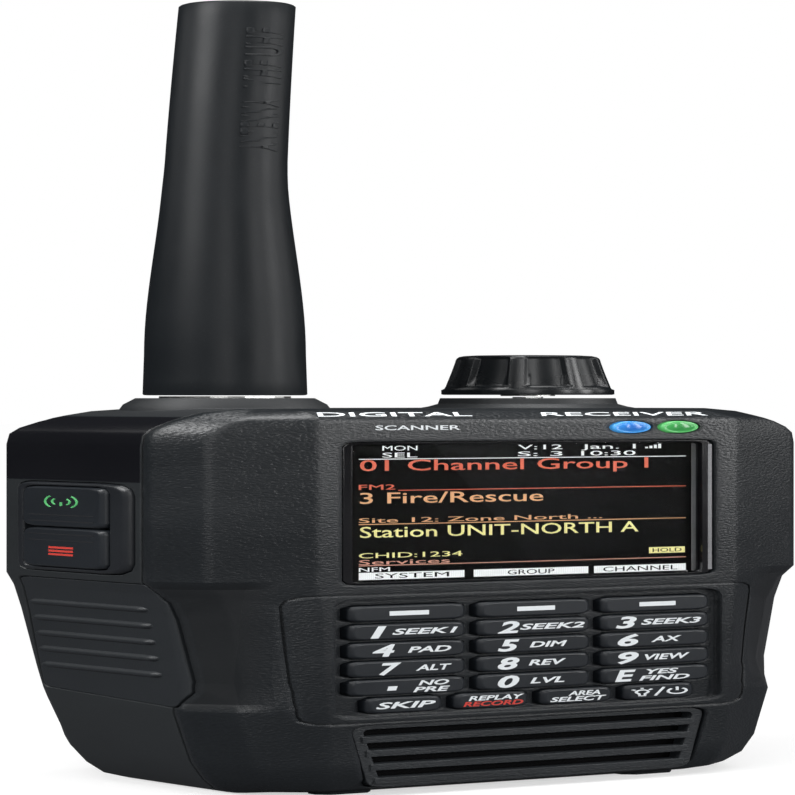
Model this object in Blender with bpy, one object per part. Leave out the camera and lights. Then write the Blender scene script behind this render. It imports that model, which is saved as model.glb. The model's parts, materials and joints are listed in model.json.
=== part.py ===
"""Handheld police scanner, built as it comes apart on a bench. Millimetre values are scaled to metres by MM.

Frame: +Z up from the feet, the display faces -Y, x and y are centred on the case.
"""

import math

import bmesh
import bpy
from mathutils import Matrix, Vector

MM = 0.001
GAP = 0.3  # clearance between neighbouring pieces
WELD = 2e-6  # metres within which a Boolean leaves one point

# Driving dimensions, in millimetres.
HALF_WIDTH = 31.7
FRONT_Y = -17.4
REAR_Y = 18.0
SEAM_Y = -9.9
SEAM_GAP = 0.3
WALL = 1.9
BASE_Z = 0.0
DECK_Z = 121.8
PROUD = 0.6

ANTENNA_XY = (-17.3, 1.0)
ANTENNA_BASE_Z = 126.1
ANTENNA_TOP_Z = 255.0
COLLAR_Z = 125.2
KNOB_XY = (12.9, 1.0)
KNOB_BASE_Z = 126.3
KNOB_HEIGHT = 13.7
KNOB_RIBS = 8
KNOB_SKIRT_RADIUS, KNOB_FOOT_RADIUS, KNOB_TOP_RADIUS = 7.3, 7.0, 6.05

DISPLAY_Z = 88.8
OPENING_WIDE, OPENING_HIGH = 36.8, 45.4
WINDOW_WIDE, WINDOW_HIGH = 34.4, 43.8

KEY_TOP_ROW_Z = 57.0
KEY_ROW_PITCH = 5.85
KEY_COLUMN_PITCH = 12.2
KEY_WIDE, KEY_HIGH = 11.1, 4.9
SMALL_KEY_PITCH, SMALL_KEY_WIDE = 8.35, 7.2
KEY_FRONT_Y = -17.5
KEY_BACK_Y = -14.6
KEY_FLOOR_Y = -16.6
KEY_FIELD_LOW, KEY_FIELD_HIGH, KEY_FIELD_HALF = 24.2, 61.5, 19.0

SPEAKER_LOW, SPEAKER_HIGH, SPEAKER_HALF = 2.0, 21.6, 17.4
SPEAKER_TAPER = 1.7  # how much narrower the grille is at its foot, on each side
SLAT_PITCH, SLAT_HIGH = 4.4, 2.1

SIDE_BEZEL_Y, SIDE_BEZEL_WIDE = 0.1, 17.4
SIDE_BEZEL_LOW, SIDE_BEZEL_HIGH, SIDE_KEY_SPLIT_Z = 69.2, 98.0, 83.4
SIDE_BEZEL_RADII = [3.8, 2.0, 2.0, 3.8]  # rounder towards the front
SIDE_KEY_Y, SIDE_KEY_HALF, SIDE_KEY_PROUD = 0.8, 6.4, 0.4
PORT_LOW, PORT_HIGH, PORT_HALF = 72.0, 94.0, 6.6

LID_HALF, LID_LOW, LID_HIGH, LID_THICK = 21.0, 12.0, 93.0, 1.8
LATCH_LOW, LATCH_HIGH, LATCH_HALF = 15.0, 22.0, 6.0
LATCH_TRAVEL = 2.2

LAMP_X = {"blue": 9.6, "green": 14.5}
LAMP_Z, LAMP_RADIUS = 115.6, 1.95
SOCKET_RADIUS, BUSH_RADIUS = 6.0, 3.5
JACK_Z = 89.4
SCREW_PLACES = ((-18.0, 112.0), (18.0, 112.0), (-18.0, 98.5), (18.0, 98.5))

GRIP_TOP, GRIP_BACK, GRIP_LOW_BACK, GRIP_THICK = 66.6, 9.2, 30.2, 1.2
GRIP_NOSE = ((-10.3, 27.8), (-11.5, 32.6), (-11.2, 61.0), (SEAM_Y, 66.6))  # edge over the front shell
GRIP_RIBS, GRIP_RIB_TOP, GRIP_RIB_PITCH, GRIP_RIB_RADIUS = 5, 58.4, 5.2, 1.0
GRIP_RIB_FRONT, GRIP_RIB_BACK = -8.6, 8.8
SCOOP_DEEP = 0.7  # how far the corner beside each grip is drawn in
FOOT_X, FOOT_HALF, FOOT_FRONT_Y, FOOT_REAR_Y, FOOT_HIGH = 15.0, 2.6, -12.0, 11.0, 1.2

WHIP_TOP_RADIUS, WHIP_WAIST_RADIUS, WHIP_FOOT_RADIUS = 4.7, 4.92, 6.5
WHIP_WAIST_Z, WHIP_FOOT_Z = 207.0, 140.0
WHIP_SET = 1.0  # how far the flexible whip has bent by its top
WHIP_SET_FROM_Z = 193.0
WHIP_SET_TOWARDS = Vector((0.82, -0.57, 0.0))

# Heights of the case where its outline changes:
# (z, half width, half width of the front face, front y, rear y, depth of the finger scoop from 0 to 1)
STATIONS = (
    (BASE_Z, 23.8, 17.6, -14.2, 14.4, 0.0),
    (1.4, 25.2, 18.6, -16.0, 16.2, 0.0),
    (4.8, 26.3, 19.0, -17.1, 17.4, 0.0),
    (10.5, 27.4, 19.3, FRONT_Y, 17.9, 0.0),
    (26.0, 28.9, 19.6, FRONT_Y, REAR_Y, 0.0),
    (29.5, 29.2, 19.7, FRONT_Y, REAR_Y, 0.45),
    (36.0, 29.6, 19.9, FRONT_Y, REAR_Y, 1.0),
    (56.0, 30.7, 20.3, FRONT_Y, REAR_Y, 1.0),
    (63.5, 31.2, 20.5, FRONT_Y, REAR_Y, 0.6),
    (67.6, HALF_WIDTH, 20.5, FRONT_Y, REAR_Y, 0.0),
    (110.0, HALF_WIDTH, 20.5, FRONT_Y, REAR_Y, 0.0),
    (113.4, 31.5, 20.5, FRONT_Y, REAR_Y, 0.0),
    (115.4, 30.8, 20.5, FRONT_Y, REAR_Y, 0.0),
    (117.4, 29.5, 20.5, FRONT_Y, 17.9, 0.0),
    (118.5, 28.6, 20.5, -17.2, 17.6, 0.0),
    (119.4, 27.7, 20.5, -16.4, 17.0, 0.0),
    (120.8, 26.1, 20.2, -14.7, 15.6, 0.0),
    (DECK_Z, 23.3, 18.6, -12.6, 13.2, 0.0),
)


def material(name, colour, roughness, metallic=0.0):
    """A plain finish: base colour, roughness and metallic value."""
    made = bpy.data.materials.new(name)
    made.use_nodes = True
    shader = made.node_tree.nodes["Principled BSDF"]
    shader.inputs["Base Color"].default_value = (*colour, 1.0)
    shader.inputs["Roughness"].default_value = roughness
    shader.inputs["Metallic"].default_value = metallic
    made.diffuse_color = (*colour, 1.0)
    return made


def finish_mesh(name, bm, mat, smooth=30):
    """Turns a bmesh in millimetres into a named object in metres, with its faces pointing out."""
    bmesh.ops.remove_doubles(bm, verts=bm.verts, dist=1e-5)
    bmesh.ops.recalc_face_normals(bm, faces=bm.faces)
    bmesh.ops.scale(bm, vec=(MM, MM, MM), verts=bm.verts)
    mesh = bpy.data.meshes.new(name)
    bm.to_mesh(mesh)
    bm.free()
    mesh.shade_smooth()
    mesh.set_sharp_from_angle(angle=math.radians(smooth))
    made = bpy.data.objects.new(name, mesh)
    if mat:
        made.data.materials.append(mat)
    bpy.context.scene.collection.objects.link(made)
    return made


def rounded(points, radius, segments=2):
    """The outline with each corner turned into an arc; radius is one value, or one for each corner."""
    radii = radius if isinstance(radius, (list, tuple)) else [radius] * len(points)
    outline = []
    count = len(points)
    for i, r in enumerate(radii):
        here = Vector(points[i])
        to_last = Vector(points[i - 1]) - here
        to_next = Vector(points[(i + 1) % count]) - here
        half = to_last.angle(to_next) / 2
        reach = max(r / math.tan(half), 0.1)
        reach = min(reach, 0.49 * to_last.length, 0.49 * to_next.length)
        start, end = here + to_last.normalized() * reach, here + to_next.normalized() * reach
        for step in range(segments + 1):
            t = step / segments
            point = start.lerp(here, t).lerp(here.lerp(end, t), t)
            outline.append(tuple(point))
    return outline


def rectangle(half_wide, low, high, centre=0.0):
    """Corners of an upright rectangle in the order that the outlines use."""
    left, right = centre - half_wide, centre + half_wide
    return [(left, low), (right, low), (right, high), (left, high)]


def rings_to_mesh(rings):
    """A closed skin over rings that have the same number of points, capped at both ends."""
    bm = bmesh.new()
    rows = [[bm.verts.new(point) for point in ring] for ring in rings]
    count = len(rows[0])
    for lower, upper in zip(rows, rows[1:]):
        for i in range(count):
            j = (i + 1) % count
            bm.faces.new((lower[i], lower[j], upper[j], upper[i]))
    bm.faces.new(rows[0][::-1])
    bm.faces.new(rows[-1])
    return bm


def along(axis, outline, depth):
    """The outline's points in space at a depth along axis x, y or z."""
    order = {"x": lambda u, v: (depth, u, v), "y": lambda u, v: (u, depth, v), "z": lambda u, v: (u, v, depth)}
    return [order[axis](u, v) for u, v in outline]


def prism(name, outline, axis, start, end, mat=None, edge=0.0):
    """The outline carried along an axis, with an optional bevelled edge at its start."""
    rings = [along(axis, outline, start), along(axis, outline, end)]
    if edge:
        middle = Vector((sum(u for u, _ in outline), sum(v for _, v in outline))) / len(outline)
        inner = []
        for u, v in outline:
            away = Vector((u, v)) - middle
            step_u = math.copysign(min(edge, abs(away.x)), away.x)
            step_v = math.copysign(min(edge, abs(away.y)), away.y)
            inner.append((u - step_u, v - step_v))
        step = math.copysign(edge, end - start)
        rings = [along(axis, inner, start), along(axis, outline, start + step), rings[1]]
    return finish_mesh(name, rings_to_mesh(rings), mat)


def turned(name, profile, centre, segments=32, mat=None, loop=False):
    """A profile of (radius, z) points spun about Z, closed if it is a loop or starts off the axis."""
    bm = bmesh.new()
    cx, cy = centre
    closes = loop or profile[0][0] > 0
    rows = []
    for radius, z in profile:
        if radius == 0:
            rows.append([bm.verts.new((cx, cy, z))] * segments)
            continue
        turns = [2 * math.pi * i / segments for i in range(segments)]
        rows.append([bm.verts.new((cx + radius * math.cos(a), cy + radius * math.sin(a), z)) for a in turns])
    pairs = list(zip(rows, rows[1:])) + ([(rows[-1], rows[0])] if closes else [])
    for first, second in pairs:
        for i in range(segments):
            j = (i + 1) % segments
            corners = []
            for vert in (first[i], first[j], second[j], second[i]):
                if vert not in corners:
                    corners.append(vert)
            if len(corners) > 2:
                bm.faces.new(corners)
    return finish_mesh(name, bm, mat)


def combine(target, other, operation="DIFFERENCE"):
    """Applies an exact Boolean with another object, which is used up."""
    modifier = target.modifiers.new(operation.title(), "BOOLEAN")
    modifier.operation = operation
    modifier.solver = "EXACT"
    modifier.object = other
    graph = bpy.context.evaluated_depsgraph_get()
    mesh = bpy.data.meshes.new_from_object(target.evaluated_get(graph))
    bm = bmesh.new()
    bm.from_mesh(mesh)
    bmesh.ops.remove_doubles(bm, verts=bm.verts, dist=WELD)
    bmesh.ops.dissolve_degenerate(bm, edges=bm.edges, dist=WELD)
    bmesh.ops.triangulate(bm, faces=bm.faces, quad_method="BEAUTY", ngon_method="BEAUTY")
    bm.to_mesh(mesh)
    bm.free()
    target.modifiers.clear()
    target.data = mesh
    bpy.data.objects.remove(other)
    return target


def outline_at(station, inset):
    """Plan outline of the case at one height: front face, facet, scooped corner, side and rear corner."""
    _, half, face, front, rear, scoop = station
    slim = HALF_WIDTH - half
    ridge = (half - 2.8 - 1.6 * scoop, front + 2.6 + 0.6 * scoop)
    corner = (half - SCOOP_DEEP * scoop, -11.1 + 0.05 * slim)
    side = (half, 11.3 - 0.7 * slim)
    back = (half - 5.0, rear)
    right = [(face, front), ridge, corner, side, back]
    shrunk = []
    for i, point in enumerate(right):
        before = Vector(right[i - 1]) if i else Vector((-face, front))
        after = Vector(right[i + 1]) if i + 1 < len(right) else Vector((-back[0], back[1]))
        here = Vector(point)
        one, two = (here - before).normalized(), (after - here).normalized()
        normal_one, normal_two = Vector((one.y, -one.x)), Vector((two.y, -two.x))
        middle = (normal_one + normal_two).normalized()
        shrunk.append(here - middle * (inset / middle.dot(normal_one)))
    left = [(-p.x, p.y) for p in reversed(shrunk)]
    return [tuple(p) for p in shrunk] + left


def case_body(name, inset=0.0):
    """The case's outer form, or the same form drawn in by inset on every side."""
    rings = []
    radii = [1.2, 1.6, 1.2, 2.0, 2.0]
    for station in STATIONS:
        z = station[0]
        z = max(z, BASE_Z + inset) if z < 60 else min(z, DECK_Z - inset)
        if rings and z - rings[-1][0][2] < 0.2:
            if z > 60:
                continue
            rings.pop()
        plan = outline_at(station, inset)
        plan = rounded(plan, radii + radii[::-1], 2 if inset < 0.5 else 1)
        rings.append(along("z", plan, z))
    return finish_mesh(name, rings_to_mesh(rings), None, 24)


def half_space(name, low_y, high_y):
    """A block that keeps one side of the parting line."""
    return prism(name, rectangle(60, -20, 300), "y", low_y, high_y)


def key_layout():
    """Every front key: (name, x, z, half width, half height)."""
    rows = (
        ("soft_left", "soft_middle", "soft_right"),
        ("1", "2", "3"),
        ("4", "5", "6"),
        ("7", "8", "9"),
        ("dot", "0", "enter"),
    )
    layout = []
    for row, names in enumerate(rows):
        z = KEY_TOP_ROW_Z - row * KEY_ROW_PITCH
        for column, name in enumerate(names):
            x = (column - 1) * KEY_COLUMN_PITCH
            layout.append((f"key_{name}", x, z, KEY_WIDE / 2, KEY_HIGH / 2))
    last_z = KEY_TOP_ROW_Z - len(rows) * KEY_ROW_PITCH + 0.1
    for column, name in enumerate(("skip", "replay", "area", "power")):
        x = (column - 1.5) * SMALL_KEY_PITCH
        layout.append((f"key_{name}", x, last_z, SMALL_KEY_WIDE / 2, KEY_HIGH / 2))
    return layout


def lofts(name, solids):
    """Separate closed lofts in one helper object, each a list of rings, for cutting a row of shapes at once."""
    bm = bmesh.new()
    for rings in solids:
        rows = [[bm.verts.new(p) for p in ring] for ring in rings]
        count = len(rows[0])
        for lower, upper in zip(rows, rows[1:]):
            for i in range(count):
                j = (i + 1) % count
                bm.faces.new((lower[i], lower[j], upper[j], upper[i]))
        bm.faces.new(rows[0][::-1])
        bm.faces.new(rows[-1])
    return finish_mesh(name, bm, None)


def facing(kind, point):
    """A matrix that turns a solid made about Z to face front, back or right, at a point in millimetres."""
    turn = {"front": (math.pi / 2, "X"), "back": (-math.pi / 2, "X"), "right": (math.pi / 2, "Y")}[kind]
    return Matrix.Translation(Vector(point) * MM) @ Matrix.Rotation(turn[0], 4, turn[1])


def drill(target, name, radius, kind, point, half_depth=3.0, segments=20):
    """Cuts a round hole that faces front, back or right."""
    profile = [(0, -half_depth), (radius, -half_depth), (radius, half_depth), (0, half_depth)]
    bit = turned(name, profile, (0, 0), segments)
    bit.matrix_world = facing(kind, point)
    return combine(target, bit)


def set_origin(obj, point):
    """Puts a piece's origin at a point in millimetres, on its joint's axis, without moving the piece."""
    local = obj.matrix_world.inverted() @ (Vector(point) * MM)
    obj.data.transform(Matrix.Translation(-local))
    obj.matrix_world = obj.matrix_world @ Matrix.Translation(local)


def skin_cutter(name, outline, axis, start, end, depth):
    """A cutter that takes only the outer skin of the case, to an even depth, inside an outline."""
    cutter = prism(name, outline, axis, start, end)
    return combine(cutter, case_body(f"{name}_core", depth))


def build_front_housing(finishes):
    """Front shell, with the display, key, lamp and speaker openings and the groove round the key field."""
    housing = case_body("front_housing")
    housing.data.materials.append(finishes["grained"])
    combine(housing, half_space("front_half", -40, SEAM_Y - SEAM_GAP / 2), "INTERSECT")
    combine(housing, case_body("front_cavity", WALL))

    low, high = DISPLAY_Z - OPENING_HIGH / 2, DISPLAY_Z + OPENING_HIGH / 2
    display = rounded(rectangle(OPENING_WIDE / 2, low, high), 1.6)
    combine(housing, prism("display_opening", display, "y", -20, -14))

    field = rounded(rectangle(KEY_FIELD_HALF, KEY_FIELD_LOW, KEY_FIELD_HIGH), 2.4, 3)
    combine(housing, prism("key_field_recess", field, "y", -20, KEY_FLOOR_Y))
    holes = []
    for _, x, z, half_wide, half_high in key_layout():
        hole = rectangle(half_wide + GAP, z - half_high - GAP, z + half_high + GAP, x)
        hole = rounded(hole, 1.0, 1)
        holes.append([along("y", hole, -18), along("y", hole, -14)])
    combine(housing, lofts("key_holes", holes))

    speaker = speaker_outline(-GAP, 2.2, 3)
    combine(housing, prism("speaker_opening", speaker, "y", -20, -14))

    for name, x in LAMP_X.items():
        drill(housing, f"lamp_hole_{name}", LAMP_RADIUS + GAP, "front", (x, FRONT_Y, LAMP_Z))

    for name, start, end in (("left", -40, -20), ("right", 20, 40)):
        lap = skin_cutter(f"grip_lap_{name}", grip_outline(GAP), "x", start, end, GRIP_THICK)
        combine(housing, lap)

    groove_out = rounded([(-21.9, 22.4), (21.9, 22.4), (23.3, 63.2), (-23.3, 63.2)], 3.0, 3)
    groove_in = rounded([(-21.6, 22.7), (21.6, 22.7), (23.0, 62.9), (-23.0, 62.9)], 2.8, 3)
    groove = prism("key_field_groove", groove_out, "y", -19, -13)
    combine(groove, prism("key_field_groove_core", groove_in, "y", -20, -12))
    combine(groove, case_body("key_field_groove_floor", 0.35))
    combine(housing, groove)

    add_feet(housing, "front_foot", FOOT_FRONT_Y)
    return housing


def add_feet(housing, name, y):
    """A pair of low feet under a housing half."""
    for side in (-1, 1):
        foot = rounded(rectangle(FOOT_HALF, y - 1.4, y + 1.4, side * FOOT_X), 0.9, 1)
        combine(housing, prism(f"{name}_{side + 2}", foot, "z", BASE_Z - FOOT_HIGH, BASE_Z + 2.4), "UNION")


def build_rear_housing(finishes):
    """Rear shell, with the antenna collar, knob boss, side openings, grip recesses and battery opening."""
    housing = case_body("rear_housing")
    housing.data.materials.append(finishes["smooth"])
    collar = [(0, 119), (8.6, 119), (8.5, 121.5), (8.2, 123.1), (7.2, COLLAR_Z), (0, COLLAR_Z)]
    combine(housing, turned("antenna_collar", collar, ANTENNA_XY, 32), "UNION")
    boss = [(0, 119), (10.0, 119), (10.0, 121.2), (8.4, 122.3), (7.6, 123.2), (7.4, COLLAR_Z), (0, COLLAR_Z)]
    combine(housing, turned("knob_boss", boss, KNOB_XY, 32), "UNION")
    combine(housing, half_space("rear_half", SEAM_Y + SEAM_GAP / 2, 40), "INTERSECT")
    combine(housing, case_body("rear_cavity", WALL))

    socket_hole = [(0, 110), (SOCKET_RADIUS + GAP, 110), (SOCKET_RADIUS + GAP, 130), (0, 130)]
    combine(housing, turned("antenna_hole", socket_hole, ANTENNA_XY, 32))
    bush_hole = [(0, 110), (BUSH_RADIUS + GAP, 110), (BUSH_RADIUS + GAP, 130), (0, 130)]
    combine(housing, turned("encoder_hole", bush_hole, KNOB_XY, 24))

    half = SIDE_BEZEL_WIDE / 2
    side = rectangle(half + GAP, SIDE_BEZEL_LOW - GAP, SIDE_BEZEL_HIGH + GAP, SIDE_BEZEL_Y)
    side = rounded(side, [radius + GAP for radius in SIDE_BEZEL_RADII], 3)
    combine(housing, prism("side_key_opening", side, "x", -40, -25))
    port = rounded(rectangle(PORT_HALF + GAP, PORT_LOW - GAP, PORT_HIGH + GAP), 2.0, 3)
    combine(housing, skin_cutter("port_recess", port, "x", 25, 40, 1.3))
    socket = rounded(rectangle(2.2, 74.5, 83.8), 0.9, 1)
    combine(housing, prism("usb_opening", socket, "x", 25, 40))
    drill(housing, "jack_opening", 2.3, "right", (30, 0, JACK_Z), 6.0)

    for name, start, end in (("left", -40, -20), ("right", 20, 40)):
        combine(housing, skin_cutter(f"grip_recess_{name}", grip_outline(GAP), "x", start, end, GRIP_THICK))

    lid = rounded(rectangle(LID_HALF + GAP, LID_LOW - GAP, LID_HIGH + GAP), 2.0, 3)
    combine(housing, prism("lid_opening", lid, "y", 14, 22))
    for x, z in SCREW_PLACES:
        drill(housing, f"screw_hole_{x:.0f}_{z:.0f}", 1.7 + GAP, "back", (x, 17, z), 3.0, 16)
    add_feet(housing, "rear_foot", FOOT_REAR_Y)
    return housing


def grip_outline(grow=0.0):
    """Side view (y, z) of a rubber grip, with a nose that laps over the front shell."""
    low_front, nose_low, nose_high, top_front = GRIP_NOSE
    back = GRIP_BACK + grow
    corners = [
        (low_front[0] - grow, low_front[1] - grow),
        (back, GRIP_LOW_BACK - grow),
        (back, GRIP_TOP + grow),
        (top_front[0] - grow, GRIP_TOP + grow),
        (nose_high[0] - grow, nose_high[1]),
        (nose_low[0] - grow, nose_low[1]),
    ]
    return rounded(corners, [1.2, 1.4, 1.4, 0.8, 2.6, 2.6], 3)


def width_at(z):
    """Half width of the case at a height."""
    for low, high in zip(STATIONS, STATIONS[1:]):
        if low[0] <= z <= high[0]:
            return low[1] + (high[1] - low[1]) * (z - low[0]) / (high[0] - low[0])
    return HALF_WIDTH


def build_grip(name, side, finishes):
    """A rubber grip that follows the case, with raised ribs."""
    grip = prism(name, grip_outline(), "x", side * 40, side * 20, finishes["rubber"])
    combine(grip, case_body(f"{name}_form"), "INTERSECT")
    for i in range(GRIP_RIBS):
        z = GRIP_RIB_TOP - GRIP_RIB_PITCH * i
        half = width_at(z)
        front = Vector((side * (half - SCOOP_DEEP * 0.85 - 0.35), GRIP_RIB_FRONT, z))
        back = Vector((side * (half - 0.4), GRIP_RIB_BACK, z))
        combine(grip, rod(f"{name}_rib_{i + 1}", front, back, GRIP_RIB_RADIUS, 12), "UNION")
    combine(grip, case_body(f"{name}_bed", GRIP_THICK - GAP))
    return grip


def rod(name, start, end, radius, segments):
    """A straight round bar between two points, with rounded ends."""
    run = end - start
    nose = [(0, 0), (radius * 0.6, radius * 0.2), (radius * 0.9, radius * 0.6), (radius, radius)]
    profile = nose + [(r, run.length - z) for r, z in reversed(nose)]
    bar = turned(name, profile, (0, 0), segments)
    bar.matrix_world = Matrix.Translation(start * MM) @ run.to_track_quat("Z", "Y").to_matrix().to_4x4()
    return bar


def build_seal(finishes):
    """Gasket loop that backs the parting line from inside."""
    seal = case_body("housing_seal", WALL + 2 * GAP)
    seal.data.materials.append(finishes["rubber"])
    combine(seal, case_body("housing_seal_hollow", WALL + 2 * GAP + 0.9))
    combine(seal, half_space("housing_seal_slab", SEAM_Y - 1.0, SEAM_Y + 1.0), "INTERSECT")
    return seal


def build_display(finishes):
    """Bezel, glass window and LCD module."""
    low, high = DISPLAY_Z - OPENING_HIGH / 2 + GAP, DISPLAY_Z + OPENING_HIGH / 2 - GAP
    outer = rounded(rectangle(OPENING_WIDE / 2 - GAP, low, high), 1.4)
    bezel = prism("display_bezel", outer, "y", FRONT_Y + 0.3, -15.6, finishes["gloss"])
    low, high = DISPLAY_Z - WINDOW_HIGH / 2, DISPLAY_Z + WINDOW_HIGH / 2
    inner = rounded(rectangle(WINDOW_WIDE / 2, low, high), 0.8)
    combine(bezel, prism("display_bezel_hole", inner, "y", -19, -14))
    glass = rounded(rectangle(WINDOW_WIDE / 2 - GAP, low + GAP, high - GAP), 0.6)
    prism("display_window", glass, "y", FRONT_Y + 0.7, -16.0, finishes["glass"])
    panel = rounded(rectangle(18.0, DISPLAY_Z - 23.4, DISPLAY_Z + 23.4), 0.6, 1)
    prism("lcd_panel", panel, "y", -15.2, -12.6, finishes["lcd"])


def build_keys(finishes):
    """The front keys, each a separate cap, and the mat behind them."""
    for name, x, z, half_wide, half_high in key_layout():
        cap = rounded(rectangle(half_wide, z - half_high, z + half_high, x), 1.1, 2)
        key = prism(name, cap, "y", KEY_FRONT_Y, KEY_BACK_Y, finishes["key"], edge=0.4)
        set_origin(key, (x, KEY_FRONT_Y, z))
    mat = rounded(rectangle(KEY_FIELD_HALF + 1.0, KEY_FIELD_LOW - 1.0, KEY_FIELD_HIGH + 1.0), 1.5, 2)
    prism("keypad_mat", mat, "y", -13.7, -12.9, finishes["rubber"])


def build_side_keys(finishes):
    """Bezel on the left side, with its two keys."""
    half = SIDE_BEZEL_WIDE / 2
    outer = rounded(rectangle(half, SIDE_BEZEL_LOW, SIDE_BEZEL_HIGH, SIDE_BEZEL_Y), SIDE_BEZEL_RADII, 3)
    face, floor = -HALF_WIDTH - PROUD, 1.8 - HALF_WIDTH
    bezel = prism("side_key_bezel", outer, "x", face, floor, finishes["satin"], edge=0.5)
    low, high = SIDE_BEZEL_LOW + 1.4, SIDE_BEZEL_HIGH - 1.4
    hole = rounded(rectangle(SIDE_KEY_HALF + GAP, low - GAP, high + GAP, SIDE_KEY_Y), 1.8, 2)
    combine(bezel, prism("side_key_hole", hole, "x", -40, -25))
    front = face - SIDE_KEY_PROUD
    for name, bottom, top in (
        ("side_key_upper", SIDE_KEY_SPLIT_Z + 0.2, high),
        ("side_key_lower", low, SIDE_KEY_SPLIT_Z - 0.2),
    ):
        cap = rounded(rectangle(SIDE_KEY_HALF, bottom, top, SIDE_KEY_Y), 1.6, 2)
        key = prism(name, cap, "x", front, -29.0, finishes["key"], edge=0.5)
        set_origin(key, (front, SIDE_KEY_Y, (bottom + top) / 2))


def build_knob(finishes):
    """Ribbed control knob, and the encoder that it turns and presses."""
    x, y = KNOB_XY
    base, top = KNOB_BASE_Z, KNOB_BASE_Z + KNOB_HEIGHT
    profile = [
        (5.0, base), (KNOB_SKIRT_RADIUS, base), (KNOB_SKIRT_RADIUS, base + 1.9), (KNOB_FOOT_RADIUS, base + 2.2),
        (KNOB_TOP_RADIUS, top - 1.2), (KNOB_TOP_RADIUS - 0.5, top - 0.3), (3.6, top), (0, top),
        (0, top - 1.6), (2.6, top - 1.6), (2.6, base + 3.0), (5.0, base + 3.0),
    ]
    knob = turned("volume_knob", profile, KNOB_XY, 40, finishes["satin"], loop=True)
    panels = [knob_panel(2 * math.pi * (i + 0.5) / KNOB_RIBS) for i in range(KNOB_RIBS)]
    combine(knob, lofts("knob_panels", panels))
    shaft_top = top - 1.6 - GAP
    shaft_profile = [(0, 125.9), (2.3, 125.9), (2.3, shaft_top), (0, shaft_top)]
    shaft = turned("encoder_shaft", shaft_profile, KNOB_XY, 20, finishes["metal"])
    plunger_profile = [(0, 117.5), (1.3, 117.5), (1.3, 125.9 - GAP), (0, 125.9 - GAP)]
    plunger = turned("encoder_plunger", plunger_profile, KNOB_XY, 16, finishes["metal"])
    for moving in (knob, shaft, plunger):
        set_origin(moving, (x, y, base))
    can = rounded(rectangle(6.2, y - 6.2, y + 6.2, x), 0.6, 1)
    case = prism("encoder_body", can, "z", 109.5, 116.0, finishes["metal"])
    bush = [(0, 112), (BUSH_RADIUS, 112), (BUSH_RADIUS, 124.4), (0, 124.4)]
    combine(case, turned("encoder_bush", bush, KNOB_XY, 24), "UNION")
    combine(case, turned("encoder_bore", [(0, 115.5), (1.7, 115.5), (1.7, 130), (0, 130)], KNOB_XY, 16))


def knob_panel(middle):
    """Rings of one shallow panel between two ribs, leaning with the knob's side."""
    rib_half = math.radians(6.5)
    half = math.pi / KNOB_RIBS - rib_half
    low, high = KNOB_BASE_Z + 2.6, KNOB_BASE_Z + KNOB_HEIGHT - 0.9
    slope = (KNOB_TOP_RADIUS - KNOB_FOOT_RADIUS) / (KNOB_HEIGHT - 3.4)
    rings = []
    for z in (low, high):
        wall = KNOB_FOOT_RADIUS + slope * (z - KNOB_BASE_Z - 2.2)
        ring = [(9.0, -half), (9.0, half)]
        ring += [(wall - 0.5, half * t) for t in (1.0, 0.33, -0.33, -1.0)]
        rings.append([
            (KNOB_XY[0] + r * math.cos(middle + a), KNOB_XY[1] + r * math.sin(middle + a), z) for r, a in ring
        ])
    return rings


def whip_radius(z):
    """Radius of the antenna: slim above its waist, and flaring smoothly towards its foot."""
    above = min(max((ANTENNA_TOP_Z - z) / (ANTENNA_TOP_Z - WHIP_WAIST_Z), 0.0), 1.0)
    flare = min(max((WHIP_WAIST_Z - z) / (WHIP_WAIST_Z - WHIP_FOOT_Z), 0.0), 1.0)
    smooth = flare * flare * (3 - 2 * flare)
    foot = 0.12 * max(WHIP_FOOT_Z - z, 0.0) / (WHIP_FOOT_Z - ANTENNA_BASE_Z)
    upper = WHIP_TOP_RADIUS + (WHIP_WAIST_RADIUS - WHIP_TOP_RADIUS) * above
    return upper + (WHIP_FOOT_RADIUS - WHIP_WAIST_RADIUS) * smooth + foot


def build_antenna(finishes):
    """Whip with a slight set, the plug that it stands on, and the socket in the collar."""
    profile = [(0, ANTENNA_BASE_Z), (whip_radius(ANTENNA_BASE_Z) - 0.4, ANTENNA_BASE_Z)]
    steps = 20
    low, high = ANTENNA_BASE_Z + 0.4, ANTENNA_TOP_Z - 0.8
    for i in range(steps + 1):
        z = low + (high - low) * i / steps
        profile.append((whip_radius(z), z))
    top = ANTENNA_TOP_Z
    profile += [(WHIP_TOP_RADIUS - 0.25, top - 0.25), (WHIP_TOP_RADIUS - 0.9, top), (0, top)]
    whip = turned("antenna_whip", profile, ANTENNA_XY, 32, finishes["antenna"])
    for vert in whip.data.vertices:
        share = max(vert.co.z / MM - WHIP_SET_FROM_Z, 0.0) / (ANTENNA_TOP_Z - WHIP_SET_FROM_Z)
        vert.co += WHIP_SET_TOWARDS * (WHIP_SET * MM * share ** 1.25)
    head = ANTENNA_BASE_Z - GAP
    plug_profile = [(0, 117.0), (3.0, 117.0), (3.0, 121.4), (5.3, 121.4), (5.3, head), (0, head)]
    plug = turned("antenna_connector", plug_profile, ANTENNA_XY, 24, finishes["metal"])
    for moving in (whip, plug):
        set_origin(moving, (*ANTENNA_XY, ANTENNA_BASE_Z))
    socket = [(3.4, 112.0), (SOCKET_RADIUS, 112.0), (SOCKET_RADIUS, 121.0), (3.4, 121.0)]
    turned("antenna_socket", socket, ANTENNA_XY, 24, finishes["metal"])


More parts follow.
